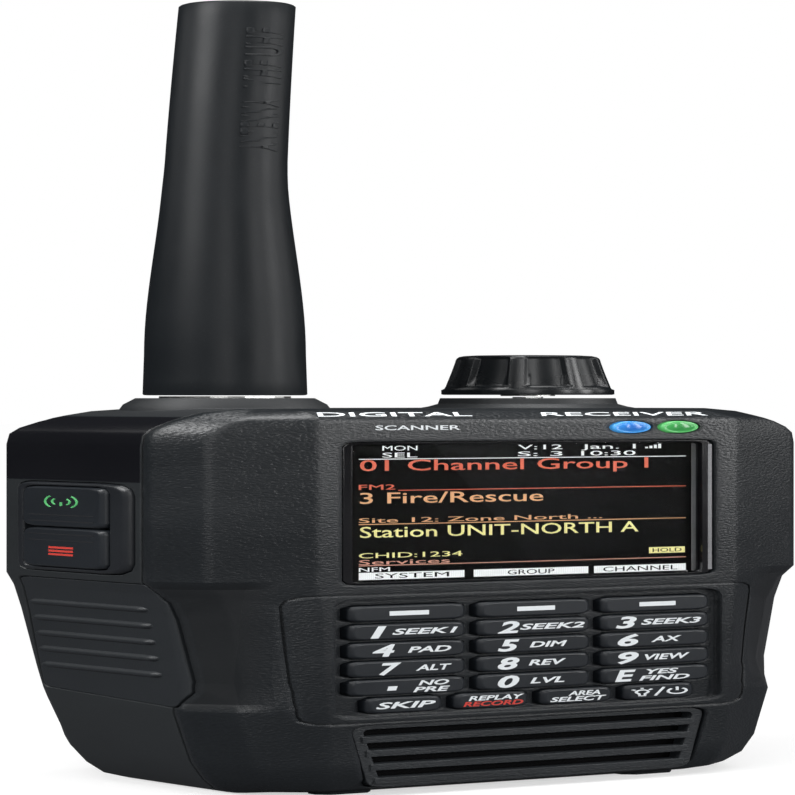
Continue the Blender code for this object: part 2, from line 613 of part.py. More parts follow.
def build_lamps(finishes):
    """Two domed lamp lenses."""
    for name, x in LAMP_X.items():
        profile = [(0, -2.4), (LAMP_RADIUS, -2.4), (LAMP_RADIUS, 0.1), (1.5, 0.35), (0.8, 0.5), (0, 0.55)]
        lens = turned(f"led_lens_{name}", profile, (0, 0), 20, finishes[f"lamp_{name}"])
        lens.matrix_world = facing("front", (x, FRONT_Y, LAMP_Z))


def speaker_outline(shrink, radius, segments):
    """The grille's outline, narrower at its foot, drawn in by shrink on every side."""
    top, foot = SPEAKER_HALF - shrink, SPEAKER_HALF - SPEAKER_TAPER - shrink
    low, high = SPEAKER_LOW + shrink, SPEAKER_HIGH - shrink
    return rounded([(-foot, low), (foot, low), (top, high), (-top, high)], radius, segments)


def build_speaker(finishes):
    """Slatted grille, dust cloth, cone and frame."""
    outer = speaker_outline(0.0, 2.0, 3)
    grille = prism("speaker_grille", outer, "y", FRONT_Y + 0.35, -15.7, finishes["grained"])
    mouth = speaker_outline(1.1, 1.0, 2)
    combine(grille, prism("speaker_mouth", mouth, "y", -19, -14))
    top = SPEAKER_HIGH - 1.1 - 2.2
    for i in range(4):
        z = top - SLAT_PITCH * i
        slat = [(-17.2, z - SLAT_HIGH), (-15.9, z - SLAT_HIGH + 0.5), (-15.9, z), (-17.2, z - 0.2)]
        down = (SPEAKER_HIGH - z + SLAT_HIGH) / (SPEAKER_HIGH - SPEAKER_LOW)
        reach = SPEAKER_HALF - 0.6 - SPEAKER_TAPER * down
        combine(grille, prism(f"slat_{i + 1}", slat, "x", -reach, reach), "UNION")
    cloth = speaker_outline(0.4, 1.4, 2)
    prism("speaker_cloth", cloth, "y", -15.4, -15.1, finishes["cloth"])
    middle_z = (SPEAKER_LOW + SPEAKER_HIGH) / 2 + 0.6
    place = facing("back", (0, -14.6, middle_z))
    ring = [(7.0, 0.0), (8.0, 0.0), (8.0, 2.2), (4.8, 4.4), (4.2, 4.4), (4.2, 3.8), (7.0, 1.6)]
    turned("speaker_frame", ring, (0, 0), 28, finishes["metal"]).matrix_world = place
    cone = [(0, 2.4), (2.2, 2.1), (6.6, 0.4), (6.6, 0.9), (2.2, 2.7), (0, 3.0)]
    turned("speaker_cone", cone, (0, 0), 28, finishes["cloth"]).matrix_world = place


def build_boards(finishes):
    """Circuit boards, sockets on the right side, and the hinged cover over them."""
    main = rounded(rectangle(21.5, 8.0, 107.0), 1.0, 1)
    prism("main_board", main, "y", -8.2, -6.8, finishes["board"])
    radio = rounded(rectangle(20.0, 62.0, 107.0), 1.0, 1)
    prism("rf_board", radio, "y", -3.4, -2.2, finishes["board"])
    shield = rounded(rectangle(16.0, 66.0, 102.0), 0.6, 1)
    prism("rf_shield", shield, "y", -1.9, 1.2, finishes["metal"], edge=0.4)
    usb = prism("usb_socket", rounded(rectangle(1.9, 74.8, 83.5), 0.8, 1), "x", 23.0, 29.6, finishes["metal"])
    combine(usb, prism("usb_mouth", rounded(rectangle(1.4, 75.3, 83.0), 0.5, 1), "x", 25.0, 31.0))
    body = rounded(rectangle(3.2, JACK_Z - 3.2, JACK_Z + 3.2), 0.5, 1)
    jack = prism("earphone_jack", body, "x", 22.0, 28.6, finishes["satin"])
    drill(jack, "jack_bore", 1.75, "right", (28, 0, JACK_Z), 5.0, 16)
    flap = rounded(rectangle(PORT_HALF, PORT_LOW, PORT_HIGH), 1.8, 3)
    cover = prism("port_cover", flap, "x", HALF_WIDTH + PROUD, HALF_WIDTH - 1.0, finishes["rubber"], edge=0.3)
    set_origin(cover, (HALF_WIDTH + PROUD, PORT_HALF, (PORT_LOW + PORT_HIGH) / 2))


def build_battery(finishes):
    """Battery pack in its tray, contacts, lid and latch."""
    trough = rounded(rectangle(20.7, 12.4, 92.6), 1.6, 1)
    tray = prism("battery_tray", trough, "y", 2.0, 15.4, finishes["satin"])
    combine(tray, prism("battery_tray_hollow", rounded(rectangle(19.8, 13.3, 91.7), 1.2, 1), "y", 3.0, 20.0))
    block = rounded(rectangle(19.3, 17.4, 91.2), 2.4, 2)
    prism("battery_pack", block, "y", 15.2, 3.4, finishes["smooth"], edge=0.8)
    for i in range(2):
        contact = rounded(rectangle(1.6, 13.8, 17.0, (i - 0.5) * 12.0), 0.4, 1)
        prism(f"battery_contact_{i + 1}", contact, "y", 4.0, 11.0, finishes["brass"])
    lid_plan = rounded(rectangle(LID_HALF, LID_LOW, LID_HIGH), 1.8, 3)
    lid = prism("battery_lid", lid_plan, "y", REAR_Y, REAR_Y - LID_THICK, finishes["smooth"], edge=0.3)
    well = rounded(rectangle(LATCH_HALF + GAP, LATCH_LOW - GAP, LATCH_HIGH + GAP + LATCH_TRAVEL), 1.0, 2)
    combine(lid, prism("latch_well", well, "y", REAR_Y - 1.2, REAR_Y + 3))
    tab_plan = rounded(rectangle(LATCH_HALF, LATCH_LOW, LATCH_HIGH), 0.9, 2)
    tab = prism("battery_latch", tab_plan, "y", REAR_Y, REAR_Y - 0.9, finishes["satin"], edge=0.25)
    for i in range(3):
        z = LATCH_LOW + 2.2 + 1.3 * i
        groove = rectangle(LATCH_HALF - 1.5, z - 0.25, z + 0.25)
        combine(tab, prism(f"latch_groove_{i + 1}", groove, "y", REAR_Y - 0.3, REAR_Y + 1))
    for moving in (lid, tab):
        set_origin(moving, (0, REAR_Y, LID_HIGH))


def build_screws(finishes):
    """Four case screws, driven in from the back."""
    for i, (x, z) in enumerate(SCREW_PLACES):
        profile = [(0, -6.0), (0.8, -6.0), (0.8, -1.4), (1.7, -1.4), (1.7, 0.0), (0, 0.0)]
        screw = turned(f"case_screw_{i + 1}", profile, (0, 0), 16, finishes["metal"])
        screw.matrix_world = facing("back", (x, REAR_Y - 0.5, z))


def main():
    """Builds every piece and stands the assembly on its feet."""
    for obj in list(bpy.data.objects):
        bpy.data.objects.remove(obj)
    finishes = {
        "grained": material("grained plastic", (0.030, 0.034, 0.037), 0.55),
        "smooth": material("smooth plastic", (0.022, 0.025, 0.028), 0.42),
        "satin": material("satin plastic", (0.028, 0.031, 0.034), 0.36),
        "gloss": material("gloss plastic", (0.010, 0.011, 0.013), 0.12),
        "rubber": material("rubber", (0.028, 0.030, 0.032), 0.70),
        "key": material("key rubber", (0.030, 0.034, 0.037), 0.60),
        "antenna": material("antenna sleeve", (0.030, 0.031, 0.033), 0.50),
        "glass": material("window glass", (0.015, 0.016, 0.018), 0.05),
        "lcd": material("lcd", (0.010, 0.010, 0.012), 0.30),
        "metal": material("plated metal", (0.62, 0.62, 0.60), 0.30, 1.0),
        "brass": material("contact brass", (0.75, 0.58, 0.28), 0.30, 1.0),
        "board": material("circuit board", (0.02, 0.13, 0.06), 0.45),
        "cloth": material("speaker cloth", (0.012, 0.012, 0.013), 0.90),
        "lamp_blue": material("blue lens", (0.02, 0.15, 0.75), 0.15),
        "lamp_green": material("green lens", (0.02, 0.42, 0.06), 0.15),
    }
    build_front_housing(finishes)
    build_rear_housing(finishes)
    build_seal(finishes)
    build_grip("left_grip", -1, finishes)
    build_grip("right_grip", 1, finishes)
    build_display(finishes)
    build_keys(finishes)
    build_side_keys(finishes)
    build_knob(finishes)
    build_antenna(finishes)
    build_lamps(finishes)
    build_speaker(finishes)
    build_boards(finishes)
    build_battery(finishes)
    build_screws(finishes)
    for obj in bpy.data.objects:
        obj.matrix_world = Matrix.Translation((0, 0, (FOOT_HIGH - BASE_Z) * MM)) @ obj.matrix_world


main()
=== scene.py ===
"""Looks of the handheld scanner radio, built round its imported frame.

Sizes are in millimetres and are scaled to metres by MM. Heights are measured from the feet.
"""

import json
import logging
import math
from dataclasses import dataclass
from enum import Enum

import bmesh
import bpy
from mathutils import Matrix, Vector

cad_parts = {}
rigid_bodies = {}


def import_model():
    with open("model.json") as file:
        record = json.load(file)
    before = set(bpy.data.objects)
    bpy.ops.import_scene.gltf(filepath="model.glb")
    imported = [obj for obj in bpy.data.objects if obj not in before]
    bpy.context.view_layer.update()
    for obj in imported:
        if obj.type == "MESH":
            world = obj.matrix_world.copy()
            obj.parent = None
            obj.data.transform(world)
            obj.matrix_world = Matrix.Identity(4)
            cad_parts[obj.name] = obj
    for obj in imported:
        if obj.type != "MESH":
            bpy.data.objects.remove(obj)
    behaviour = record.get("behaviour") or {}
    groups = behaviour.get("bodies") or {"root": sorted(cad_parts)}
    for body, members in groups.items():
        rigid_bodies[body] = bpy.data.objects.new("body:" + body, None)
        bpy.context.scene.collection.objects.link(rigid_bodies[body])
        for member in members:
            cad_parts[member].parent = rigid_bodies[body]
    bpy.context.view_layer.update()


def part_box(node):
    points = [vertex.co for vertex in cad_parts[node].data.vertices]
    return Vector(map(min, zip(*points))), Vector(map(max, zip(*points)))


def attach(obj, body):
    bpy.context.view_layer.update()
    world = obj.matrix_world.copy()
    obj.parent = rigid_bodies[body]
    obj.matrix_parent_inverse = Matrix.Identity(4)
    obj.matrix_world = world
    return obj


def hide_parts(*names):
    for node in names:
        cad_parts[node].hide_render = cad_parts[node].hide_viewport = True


MM = 0.001
STAND = 1.2  # height of the feet under the case
INK = 0.06  # usual thickness of a print
FLATTEN = 0.3  # height of a printed line against its width
CAPITAL = 0.682  # height of a capital letter in the type
LOG = logging.getLogger("scanner")

Point = tuple[float, float]
Colour = tuple[float, float, float]
Line = list[Point]
Inputs = dict[str, object]
Obj = bpy.types.Object
Socket = bpy.types.NodeSocket


class Facing(Enum):
    """Which way a print faces, as its right, up and out directions."""

    FRONT = ((1, 0, 0), (0, 0, 1), (0, -1, 0))
    LEFT = ((0, -1, 0), (0, 0, 1), (-1, 0, 0))

    def matrix(self, right: float, up: float, out: float) -> Matrix:
        """The matrix that carries flat work (x right, y up, z out) to a place on this face, in millimetres."""
        turn = Matrix(self.value).transposed()
        return Matrix.Translation(turn @ Vector((right, up, out)) * MM) @ turn.to_4x4()


# ---------------------------------------------------------------- hand tools


def deselect() -> None:
    """Leaves nothing selected, as before a new primitive."""
    for other in list(bpy.context.selected_objects):
        other.select_set(False)


def only(obj: Obj) -> None:
    """Leaves one object selected and active."""
    deselect()
    bpy.context.view_layer.objects.active = obj
    obj.select_set(True)


def apply_place(obj: Obj) -> Obj:
    """Moves an object's place into its mesh, so that the object sits at the origin."""
    bpy.context.view_layer.update()
    obj.data.transform(obj.matrix_world)
    if obj.matrix_world.determinant() < 0:
        obj.data.flip_normals()
    obj.matrix_world = Matrix.Identity(4)
    return obj


def apply_modifier(obj: Obj, kind: str, **settings: object) -> Obj:
    """Adds a modifier with these settings and applies it."""
    only(obj)
    modifier = obj.modifiers.new(kind.title(), kind)
    for key, value in settings.items():
        setattr(modifier, key, value)
    bpy.ops.object.modifier_apply(modifier=modifier.name)
    return obj


def smooth(obj: Obj, angle: float = 32.0, weighted: bool = True) -> Obj:
    """Shades smooth up to an angle in degrees, with flat faces kept flat."""
    only(obj)
    bpy.ops.object.shade_smooth_by_angle(angle=math.radians(angle))
    if weighted:
        apply_modifier(obj, "WEIGHTED_NORMAL", keep_sharp=True, weight=90)
    return obj


def bevel_sharp(obj: Obj, width: float, segments: int = 3, angle: float = 40.0) -> Obj:
    """Rounds every edge sharper than an angle, in edit mode.

    Args:
        obj: The mesh to round.
        width: Width of the rounding in millimetres.
        segments: Steps across the rounding.
        angle: Least angle between faces, in degrees.

    Returns:
        The same object.
    """
    only(obj)
    bpy.ops.object.mode_set(mode="EDIT")
    bpy.ops.mesh.select_mode(type="EDGE")
    bpy.ops.mesh.select_all(action="DESELECT")
    bpy.ops.mesh.edges_select_sharp(sharpness=math.radians(angle))
    bpy.ops.mesh.bevel(offset=width * MM, segments=segments, profile=0.5, clamp_overlap=True)
    bpy.ops.object.mode_set(mode="OBJECT")
    return obj


def refined(node: str, name: str, bevel: float = 0.0, segments: int = 3, angle: float = 40.0) -> Obj:
    """A merged copy of a frame node with cleaner faces, rounded edges and even shading.

    Args:
        node: The frame node that it stands for.
        name: Name of the new piece.
        bevel: Width of the edge rounding in millimetres, or 0 for none.
        segments: Steps across the rounding.
        angle: Least angle that is rounded, in degrees.

    Returns:
        The new piece, at the origin.
    """
    source = bpy.data.objects[node]
    obj = bpy.data.objects.new(name, source.data.copy())
    obj.data.name = name
    obj.data.materials.clear()
    bpy.context.scene.collection.objects.link(obj)
    only(obj)
    bpy.ops.object.mode_set(mode="EDIT")
    bpy.ops.mesh.select_all(action="SELECT")
    bpy.ops.mesh.customdata_custom_splitnormals_clear()
    bpy.ops.mesh.remove_doubles(threshold=2e-6)
    bpy.ops.mesh.dissolve_limited(angle_limit=math.radians(0.6))
    bpy.ops.object.mode_set(mode="OBJECT")
    if bevel:
        bevel_sharp(obj, bevel, segments, angle)
    return smooth(obj)


def lathe(name: str, profile: Line, centre: Point = (0.0, 0.0), segments: int = 64) -> Obj:
    """A turned solid: a ring that is extruded and resized along its profile, and capped.

    Args:
        name: Name of the object.
        profile: (radius, z) points in millimetres, from bottom to top, none of them on the axis.
        centre: Place of the axis in millimetres.
        segments: Points round the ring.

    Returns:
        The solid, at the origin.
    """
    deselect()
    axis = (centre[0] * MM, centre[1] * MM)
    radius, z = profile[0]
    bpy.ops.mesh.primitive_circle_add(
        vertices=segments, radius=radius * MM, fill_type="NGON", location=(*axis, z * MM)
    )
    obj = bpy.context.object
    obj.name = obj.data.name = name
    bpy.ops.object.mode_set(mode="EDIT")
    bpy.ops.mesh.select_all(action="SELECT")
    for (first, low), (second, high) in zip(profile, profile[1:]):
        bpy.ops.mesh.extrude_region_move(TRANSFORM_OT_translate={"value": (0, 0, (high - low) * MM)})
        share = second / first
        bpy.ops.transform.resize(value=(share, share, 1), center_override=(*axis, high * MM))
    bpy.ops.mesh.select_all(action="SELECT")
    bpy.ops.mesh.remove_doubles(threshold=1e-7)
    bpy.ops.mesh.normals_make_consistent(inside=False)
    bpy.ops.object.mode_set(mode="OBJECT")
    return apply_place(obj)


def cube(name: str) -> Obj:
    """A cube of side 1 at the origin."""
    deselect()
    bpy.ops.mesh.primitive_cube_add(size=1)
    obj = bpy.context.object
    obj.name = obj.data.name = name
    return obj


def block(name: str, low: Vector, high: Vector, bevel: float = 0.2, segments: int = 2) -> Obj:
    """A box between two corners in millimetres, with rounded edges."""
    obj = cube(name)
    obj.scale = (high - low) * MM
    obj.location = (low + high) / 2 * MM
    apply_place(obj)
    bevel_sharp(obj, bevel, segments)
    return smooth(obj)


def joined(name: str, parts: list[Obj]) -> Obj:
    """Several objects made one, under a name."""
    deselect()
    for part in parts:
        part.select_set(True)
    bpy.context.view_layer.objects.active = parts[0]
    if len(parts) > 1:
        bpy.ops.object.join()
    obj = bpy.context.object
    obj.name = obj.data.name = name
    return obj


@dataclass
class Print:
    """A few words or figures printed on a face."""

    words: str
    x: float
    z: float
    height: float
    width: float = 0.0
    slant: float = 0.0
    weight: float = 0.0
    centred: bool = True

    def flat(self, thick: float) -> Obj:
        """The print as a flat closed mesh round its own place, x right, y up, z out, in metres.

        Args:
            thick: Thickness of the ink or relief in millimetres.

        Returns:
            The mesh object.
        """
        deselect()
        bpy.ops.object.text_add()
        obj = bpy.context.object
        obj.data.body = self.words
        obj.data.shear = self.slant
        obj.data.offset = self.weight
        obj.data.extrude = 0.05
        obj.data.resolution_u = 3
        bpy.ops.object.convert(target="MESH")
        obj = bpy.context.object
        xs = [v.co.x for v in obj.data.vertices]
        wide = max(xs) - min(xs)
        tall = self.height / CAPITAL
        scale = self.width / wide if self.width else tall
        middle = (max(xs) + min(xs)) / 2 if self.centred else min(xs)
        for v in obj.data.vertices:
            v.co = Vector(((v.co.x - middle) * scale, v.co.y * tall, v.co.z / 0.1 * thick)) * MM
        return obj

    def on(self, depth: float, thick: float = INK, facing: Facing = Facing.FRONT) -> Obj:
        """The print on an upright face.

        Args:
            depth: Height along the face's out direction, in millimetres.
            thick: Thickness of the ink.
            facing: The face that carries it.

        Returns:
            The mesh, at the origin.
        """
        obj = self.flat(thick)
        obj.matrix_world = facing.matrix(self.x, self.z, depth)
        return apply_place(obj)


def stroke(name: str, points: Line, wide: float, depth: float, facing: Facing = Facing.FRONT) -> Obj:
    """A printed line: a bar between points in the face's plane.

    Args:
        name: Name of the object.
        points: (right, up) points in millimetres.
        wide: Line width in millimetres.
        depth: Height of its middle along the face's out direction, in millimetres.
        facing: The face that carries it.

    Returns:
        The mesh, at the origin.
    """
    curve = bpy.data.curves.new(name, "CURVE")
    curve.dimensions = "3D"
    spline = curve.splines.new("POLY")
    spline.points.add(len(points) - 1)
    for place, (u, v) in zip(spline.points, points):
        place.co = (u * MM, v * MM, 0, 1)
    curve.bevel_depth = wide / 2 * MM
    curve.bevel_resolution = 1
    curve.use_fill_caps = True
    obj = bpy.data.objects.new(name, curve)
    bpy.context.scene.collection.objects.link(obj)
    only(obj)
    bpy.ops.object.convert(target="MESH")
    obj = bpy.context.object
    for v in obj.data.vertices:
        v.co.z *= FLATTEN
    obj.matrix_world = facing.matrix(0, 0, depth)
    return apply_place(obj)


def arc(centre: Point, radius: float, start: float, end: float, steps: int = 14) -> Line:
    """Points along an arc, angles in degrees."""
    turns = [math.radians(start + (end - start) * i / steps) for i in range(steps + 1)]
    return [(centre[0] + radius * math.cos(a), centre[1] + radius * math.sin(a)) for a in turns]


def bar(name: str, low: Point, high: Point, depth: float, thick: float = INK, facing: Facing = Facing.FRONT) -> Obj:
    """A flat printed bar on a face.

    Args:
        name: Name of the object.
        low: Its lower corner (right, up) in millimetres.
        high: Its upper corner.
        depth: Height of its middle along the face's out direction.
        thick: Its thickness.
        facing: The face that carries it.

    Returns:
        The mesh, at the origin.
    """
    obj = cube(name)
    size = Vector((high[0] - low[0], high[1] - low[1], thick)) * MM
    middle = Vector(((low[0] + high[0]) / 2, (low[1] + high[1]) / 2, 0)) * MM
    obj.data.transform(Matrix.Translation(middle) @ Matrix.Diagonal((*size, 1)))
    obj.matrix_world = facing.matrix(0, 0, depth)
    return apply_place(obj)


# ---------------------------------------------------------------- finishes


def scaled(colour: Colour, by: float) -> Colour:
    """A colour made lighter or darker."""
    return tuple(share * by for share in colour)


class Nodes:
    """A node tree under construction, with short calls for what the finishes use."""

    def __init__(self, tree: bpy.types.NodeTree) -> None:
        """Starts on an empty tree."""
        self.tree = tree
        tree.nodes.clear()

    def feed(self, target: Socket, value: object) -> None:
        """Makes an input follow a socket, or hold a number or a colour."""
        if isinstance(value, Socket):
            self.tree.links.new(value, target)
        else:
            target.default_value = (*value, 1.0) if target.type == "RGBA" else value

    def add(self, kind: str, inputs: dict[str | int, object] | None = None, **settings: object) -> bpy.types.Node:
        """A shader node with its properties set and its inputs fed.

        Args:
            kind: Type of the node, without its prefix.
            inputs: What its inputs follow or hold, by name or number.
            **settings: Its properties.

        Returns:
            The new node.
        """
        node = self.tree.nodes.new(f"ShaderNode{kind}")
        for key, value in settings.items():
            setattr(node, key, value)
        for label, value in (inputs or {}).items():
            self.feed(node.inputs[label], value)
        return node

    def math(self, operation: str, *values: object, clamp: bool = False) -> Socket:
        """The result of a Math node on sockets or numbers."""
        return self.add("Math", dict(enumerate(values)), operation=operation, use_clamp=clamp).outputs[0]

    def plus(self, first: object, second: object, clamp: bool = False) -> Socket:
        """The sum of two."""
        return self.math("ADD", first, second, clamp=clamp)

    def less(self, first: object, second: object) -> Socket:
        """The first less the second."""
        return self.math("SUBTRACT", first, second)

    def times(self, first: object, second: object, clamp: bool = False) -> Socket:
        """The product of two."""
        return self.math("MULTIPLY", first, second, clamp=clamp)

    def mix(self, share: object, first: object, second: object) -> Socket:
        """A colour between two, by a mask."""
        return self.add("Mix", {0: share, 6: first, 7: second}, data_type="RGBA").outputs[2]

    def blend(self, share: Socket, first: bpy.types.Node, second: bpy.types.Node) -> bpy.types.Node:
        """A shader between two, by a mask."""
        return self.add("MixShader", {0: share, 1: first.outputs[0], 2: second.outputs[0]})

    def place(self) -> Socket:
        """The point that is shaded, in the piece's own frame."""
        return self.add("TexCoord").outputs["Object"]

    def axes(self) -> bpy.types.NodeOutputs:
        """The x, y and z of that point."""
        return self.add("SeparateXYZ", {0: self.place()}).outputs

    def noise(self, vector: Socket, scale: object, detail: float = 3.0) -> Socket:
        """A noise pattern's value."""
        return self.add("TexNoise", {"Scale": scale, "Detail": detail, "Vector": vector}).outputs[0]

    def rim(self, radius: object) -> Socket:
        """The normal with its edges rounded, by a radius in metres."""
        return self.add("Bevel", {"Radius": radius}, samples=4).outputs[0]

    def bump(self, height: Socket, distance: float, **normal: Socket) -> Socket:
        """The normal bent by a height, over a distance in millimetres."""
        return self.add("Bump", {"Distance": distance * MM, "Height": height, **normal}).outputs[0]

    def camera_ray(self) -> Socket:
        """1 for what the camera sees itself, else 0."""
        return self.add("LightPath").outputs["Is Camera Ray"]


def new_group(
    name: str, inputs: dict[str, float], outputs: tuple[str, ...]
) -> tuple[Nodes, bpy.types.NodeOutputs, bpy.types.NodeInputs]:
    """An empty shader node group with float inputs and outputs.

    Args:
        name: Name of the group.
        inputs: Input names with their usual values.
        outputs: Output names.

    Returns:
        The builder, what the group is given, and what it gives back.
    """
    nodes = Nodes(bpy.data.node_groups.new(name, "ShaderNodeTree"))
    sockets, made = nodes.tree.interface, nodes.tree.nodes
    for label, value in inputs.items():
        sockets.new_socket(label, in_out="INPUT", socket_type="NodeSocketFloat").default_value = value
    for label in outputs:
        sockets.new_socket(label, in_out="OUTPUT", socket_type="NodeSocketFloat")
    return nodes, made.new("NodeGroupInput").outputs, made.new("NodeGroupOutput").inputs


class Effects:
    """Shader node groups that the finishes share, each built once."""

    LIMITS = {"Low": 0.0, "High": 0.1, "Beyond": 0.0, "Front": -1.0, "Back": 1.0, "Soft": 0.0004}

    def __init__(self) -> None:
        """Builds the three groups."""
        self.grain = self.make_grain()
        self.handling = self.make_handling()
        self.zone = self.make_zone()

    def smudge(self, nodes: Nodes) -> Socket:
        """The broad smudges, in a material's tree."""
        return nodes.add("Group", node_tree=self.handling).outputs["Smudge"]

    @staticmethod
    def make_grain() -> bpy.types.NodeTree:
        """Moulded leather-like grain: small rounded pads with fine pits between them."""
        nodes, given, back = new_group("moulded grain", {"Size": 0.45, "Amount": 1.0}, ("Height", "Pits"))
        place = nodes.place()
        per_metre = nodes.math("DIVIDE", 1000.0, given["Size"])
        wobble = nodes.noise(place, nodes.times(per_metre, 0.6), 2.0)
        inputs = {"Smoothness": 0.6, "Vector": place, "Scale": per_metre}
        away = nodes.add("TexVoronoi", inputs, feature="SMOOTH_F1").outputs["Distance"]
        height = nodes.plus(nodes.times(nodes.less(1.0, away), 0.7), nodes.times(wobble, 0.6))
        nodes.feed(back["Height"], nodes.times(height, given["Amount"]))
        nodes.feed(back["Pits"], nodes.times(away, 1.0, clamp=True))
        return nodes.tree

    @staticmethod
    def make_handling() -> bpy.types.NodeTree:
        """Traces of handling: broad smudges and fine dust, and pale edges that are partly rubbed and partly painted
        highlights.
        """
        nodes, given, back = new_group("handling", {"Edge": 0.3, "Spread": 60.0}, ("Smudge", "Dust", "Worn"))
        place = nodes.place()
        broad = nodes.noise(place, given["Spread"], 4.0)
        nodes.feed(back["Smudge"], broad)
        nodes.feed(back["Dust"], nodes.math("GREATER_THAN", nodes.noise(place, 5200.0, 2.0), 0.70))
        normals = {0: nodes.rim(nodes.times(given["Edge"], MM)), 1: nodes.add("NewGeometry").outputs["Normal"]}
        dot = nodes.add("VectorMath", normals, operation="DOT_PRODUCT").outputs["Value"]
        turned = nodes.less(1.0, dot)
        # Edge mask: where the rounded normal turns from the true one, in smudge patches; it pales the colour, partly as
        # rubbed edges and partly as painted highlights along the ridges.
        nodes.feed(back["Worn"], nodes.times(nodes.times(turned, 14.0), broad, clamp=True))
        return nodes.tree

    @classmethod
    def make_zone(cls) -> bpy.types.NodeTree:
        """A soft-edged band between two heights, on parts further than a distance from the middle plane."""
        nodes, given, back = new_group("zone", cls.LIMITS, ("Mask",))
        x, y, z = nodes.axes()

        def above(value: Socket, limit: Socket) -> Socket:
            """1 where the value is past the limit, with a soft step."""
            return nodes.math("DIVIDE", nodes.less(value, limit), given["Soft"], clamp=True)

        mask = above(z, given["Low"])
        for value, limit in ((given["High"], z), (nodes.math("ABSOLUTE", x), given["Beyond"]),
                             (y, given["Front"]), (given["Back"], y)):
            mask = nodes.times(mask, above(value, limit))
        nodes.feed(back["Mask"], mask)
        return nodes.tree


@dataclass(frozen=True)
class Zone:
    """A part of a moulding with a finish of its own, its limits in millimetres; where it marks the finger recess its
    darker colour is painted shade.
    """

    low: float
    high: float
    beyond: float
    front: float
    back: float
    colour: Colour
    roughness: float
    grain: float
    soft: float = 0.4
    depth: float = 0.0

    def mask(self, nodes: Nodes, effects: Effects) -> Socket:
        """1 inside the zone, in a material's tree."""
        limits = {label: getattr(self, label.lower()) * MM for label in Effects.LIMITS}
        return nodes.add("Group", limits, node_tree=effects.zone).outputs[0]


@dataclass(frozen=True)
class Finish:
    """A finish, which becomes one material."""

    name: str

    def build(self, effects: Effects) -> bpy.types.Material:
        """The material.

        Args:
            effects: The shared node groups.

        Returns:
            The new material.
        """
        made = bpy.data.materials.new(self.name)
        made.use_nodes = True
        nodes = Nodes(made.node_tree)
        shader = nodes.add("BsdfPrincipled", self.surface(nodes, effects))
        nodes.add("OutputMaterial", {0: shader.outputs[0]})
        return made

    def surface(self, nodes: Nodes, effects: Effects) -> Inputs:
        """What the shader's inputs follow or hold."""
        raise NotImplementedError


@dataclass(frozen=True)
class Moulded(Finish):
    """A moulded plastic or rubber finish: tone, grain, rounded edges, paler edges that are partly rubbed and partly
    painted highlights, smudges and zones.
    """

    colour: Colour
    roughness: float
    grain_size: float = 0.45
    grain: float = 0.0
    edge: float = 0.3
    wear_and_highlight: float = 0.4
    gloss: float = 0.5
    tone: float = 0.25
    relief: float = 0.05
    zones: tuple[Zone, ...] = ()
    coat: float = 0.0

    def surface(self, nodes: Nodes, effects: Effects) -> Inputs:
        """What the shader's inputs follow or hold."""
        grain = nodes.add("Group", {"Size": self.grain_size}, node_tree=effects.grain)
        handling = nodes.add("Group", {"Edge": self.edge}, node_tree=effects.handling)
        smudge, dust, worn_and_highlight = (handling.outputs[k] for k in ("Smudge", "Dust", "Worn"))
        colour = nodes.mix(smudge, scaled(self.colour, 1 - self.tone), scaled(self.colour, 1 + self.tone))
        rough, relief, sunk = self.roughness, self.grain, 0.0
        for zone in self.zones:
            mask = zone.mask(nodes, effects)
            keep = nodes.less(1.0, mask)
            colour = nodes.mix(mask, colour, zone.colour)
            rough = nodes.plus(nodes.times(rough, keep), nodes.times(mask, zone.roughness))
            relief = nodes.plus(nodes.times(relief, keep), nodes.times(mask, zone.grain))
            if zone.depth:
                sunk = nodes.times(mask, -zone.depth / self.relief)
        pale = tuple(min(c * 2.2 + 0.02, 1.0) for c in self.colour)
        # Paler edges: partly rubbed plastic, partly painted highlights along the ridges.
        colour = nodes.mix(nodes.times(worn_and_highlight, self.wear_and_highlight), colour, pale)
        colour = nodes.mix(nodes.times(dust, 0.05), colour, DUST)
        if self.grain:
            colour = nodes.mix(nodes.times(grain.outputs["Pits"], 0.45), colour, scaled(self.colour, 0.35))
        change = nodes.times(nodes.less(smudge, 0.5), 0.22)
        nodes.feed(grain.inputs["Amount"], relief)
        fine = nodes.times(nodes.noise(nodes.place(), 9000.0, 2.0), 0.06)
        height = nodes.plus(nodes.plus(grain.outputs["Height"], fine), sunk)
        return {
            "Base Color": colour, "Roughness": nodes.plus(rough, change, clamp=True),
            "Specular IOR Level": self.gloss, "Coat Weight": self.coat, "Coat Roughness": 0.08,
            "Normal": nodes.bump(height, self.relief, Normal=nodes.rim(self.edge * MM)),
        }


@dataclass(frozen=True)
class Metal(Finish):
    """A plated or turned metal finish with brushed roughness, spots and light scratches."""

    colour: Colour
    roughness: float

    def surface(self, nodes: Nodes, effects: Effects) -> Inputs:
        """What the shader's inputs follow or hold."""
        along = nodes.add("Mapping", {0: nodes.place(), "Scale": (1.0, 1.0, 14.0)}).outputs[0]
        brushed = nodes.noise(along, 900.0, 4.0)
        spread = nodes.times(nodes.less(brushed, 0.5), 0.4)
        return {
            "Metallic": 1.0, "Roughness": nodes.plus(spread, self.roughness, clamp=True),
            "Base Color": nodes.mix(effects.smudge(nodes), scaled(self.colour, 0.72), self.colour),
            "Normal": nodes.bump(brushed, 0.01),
        }


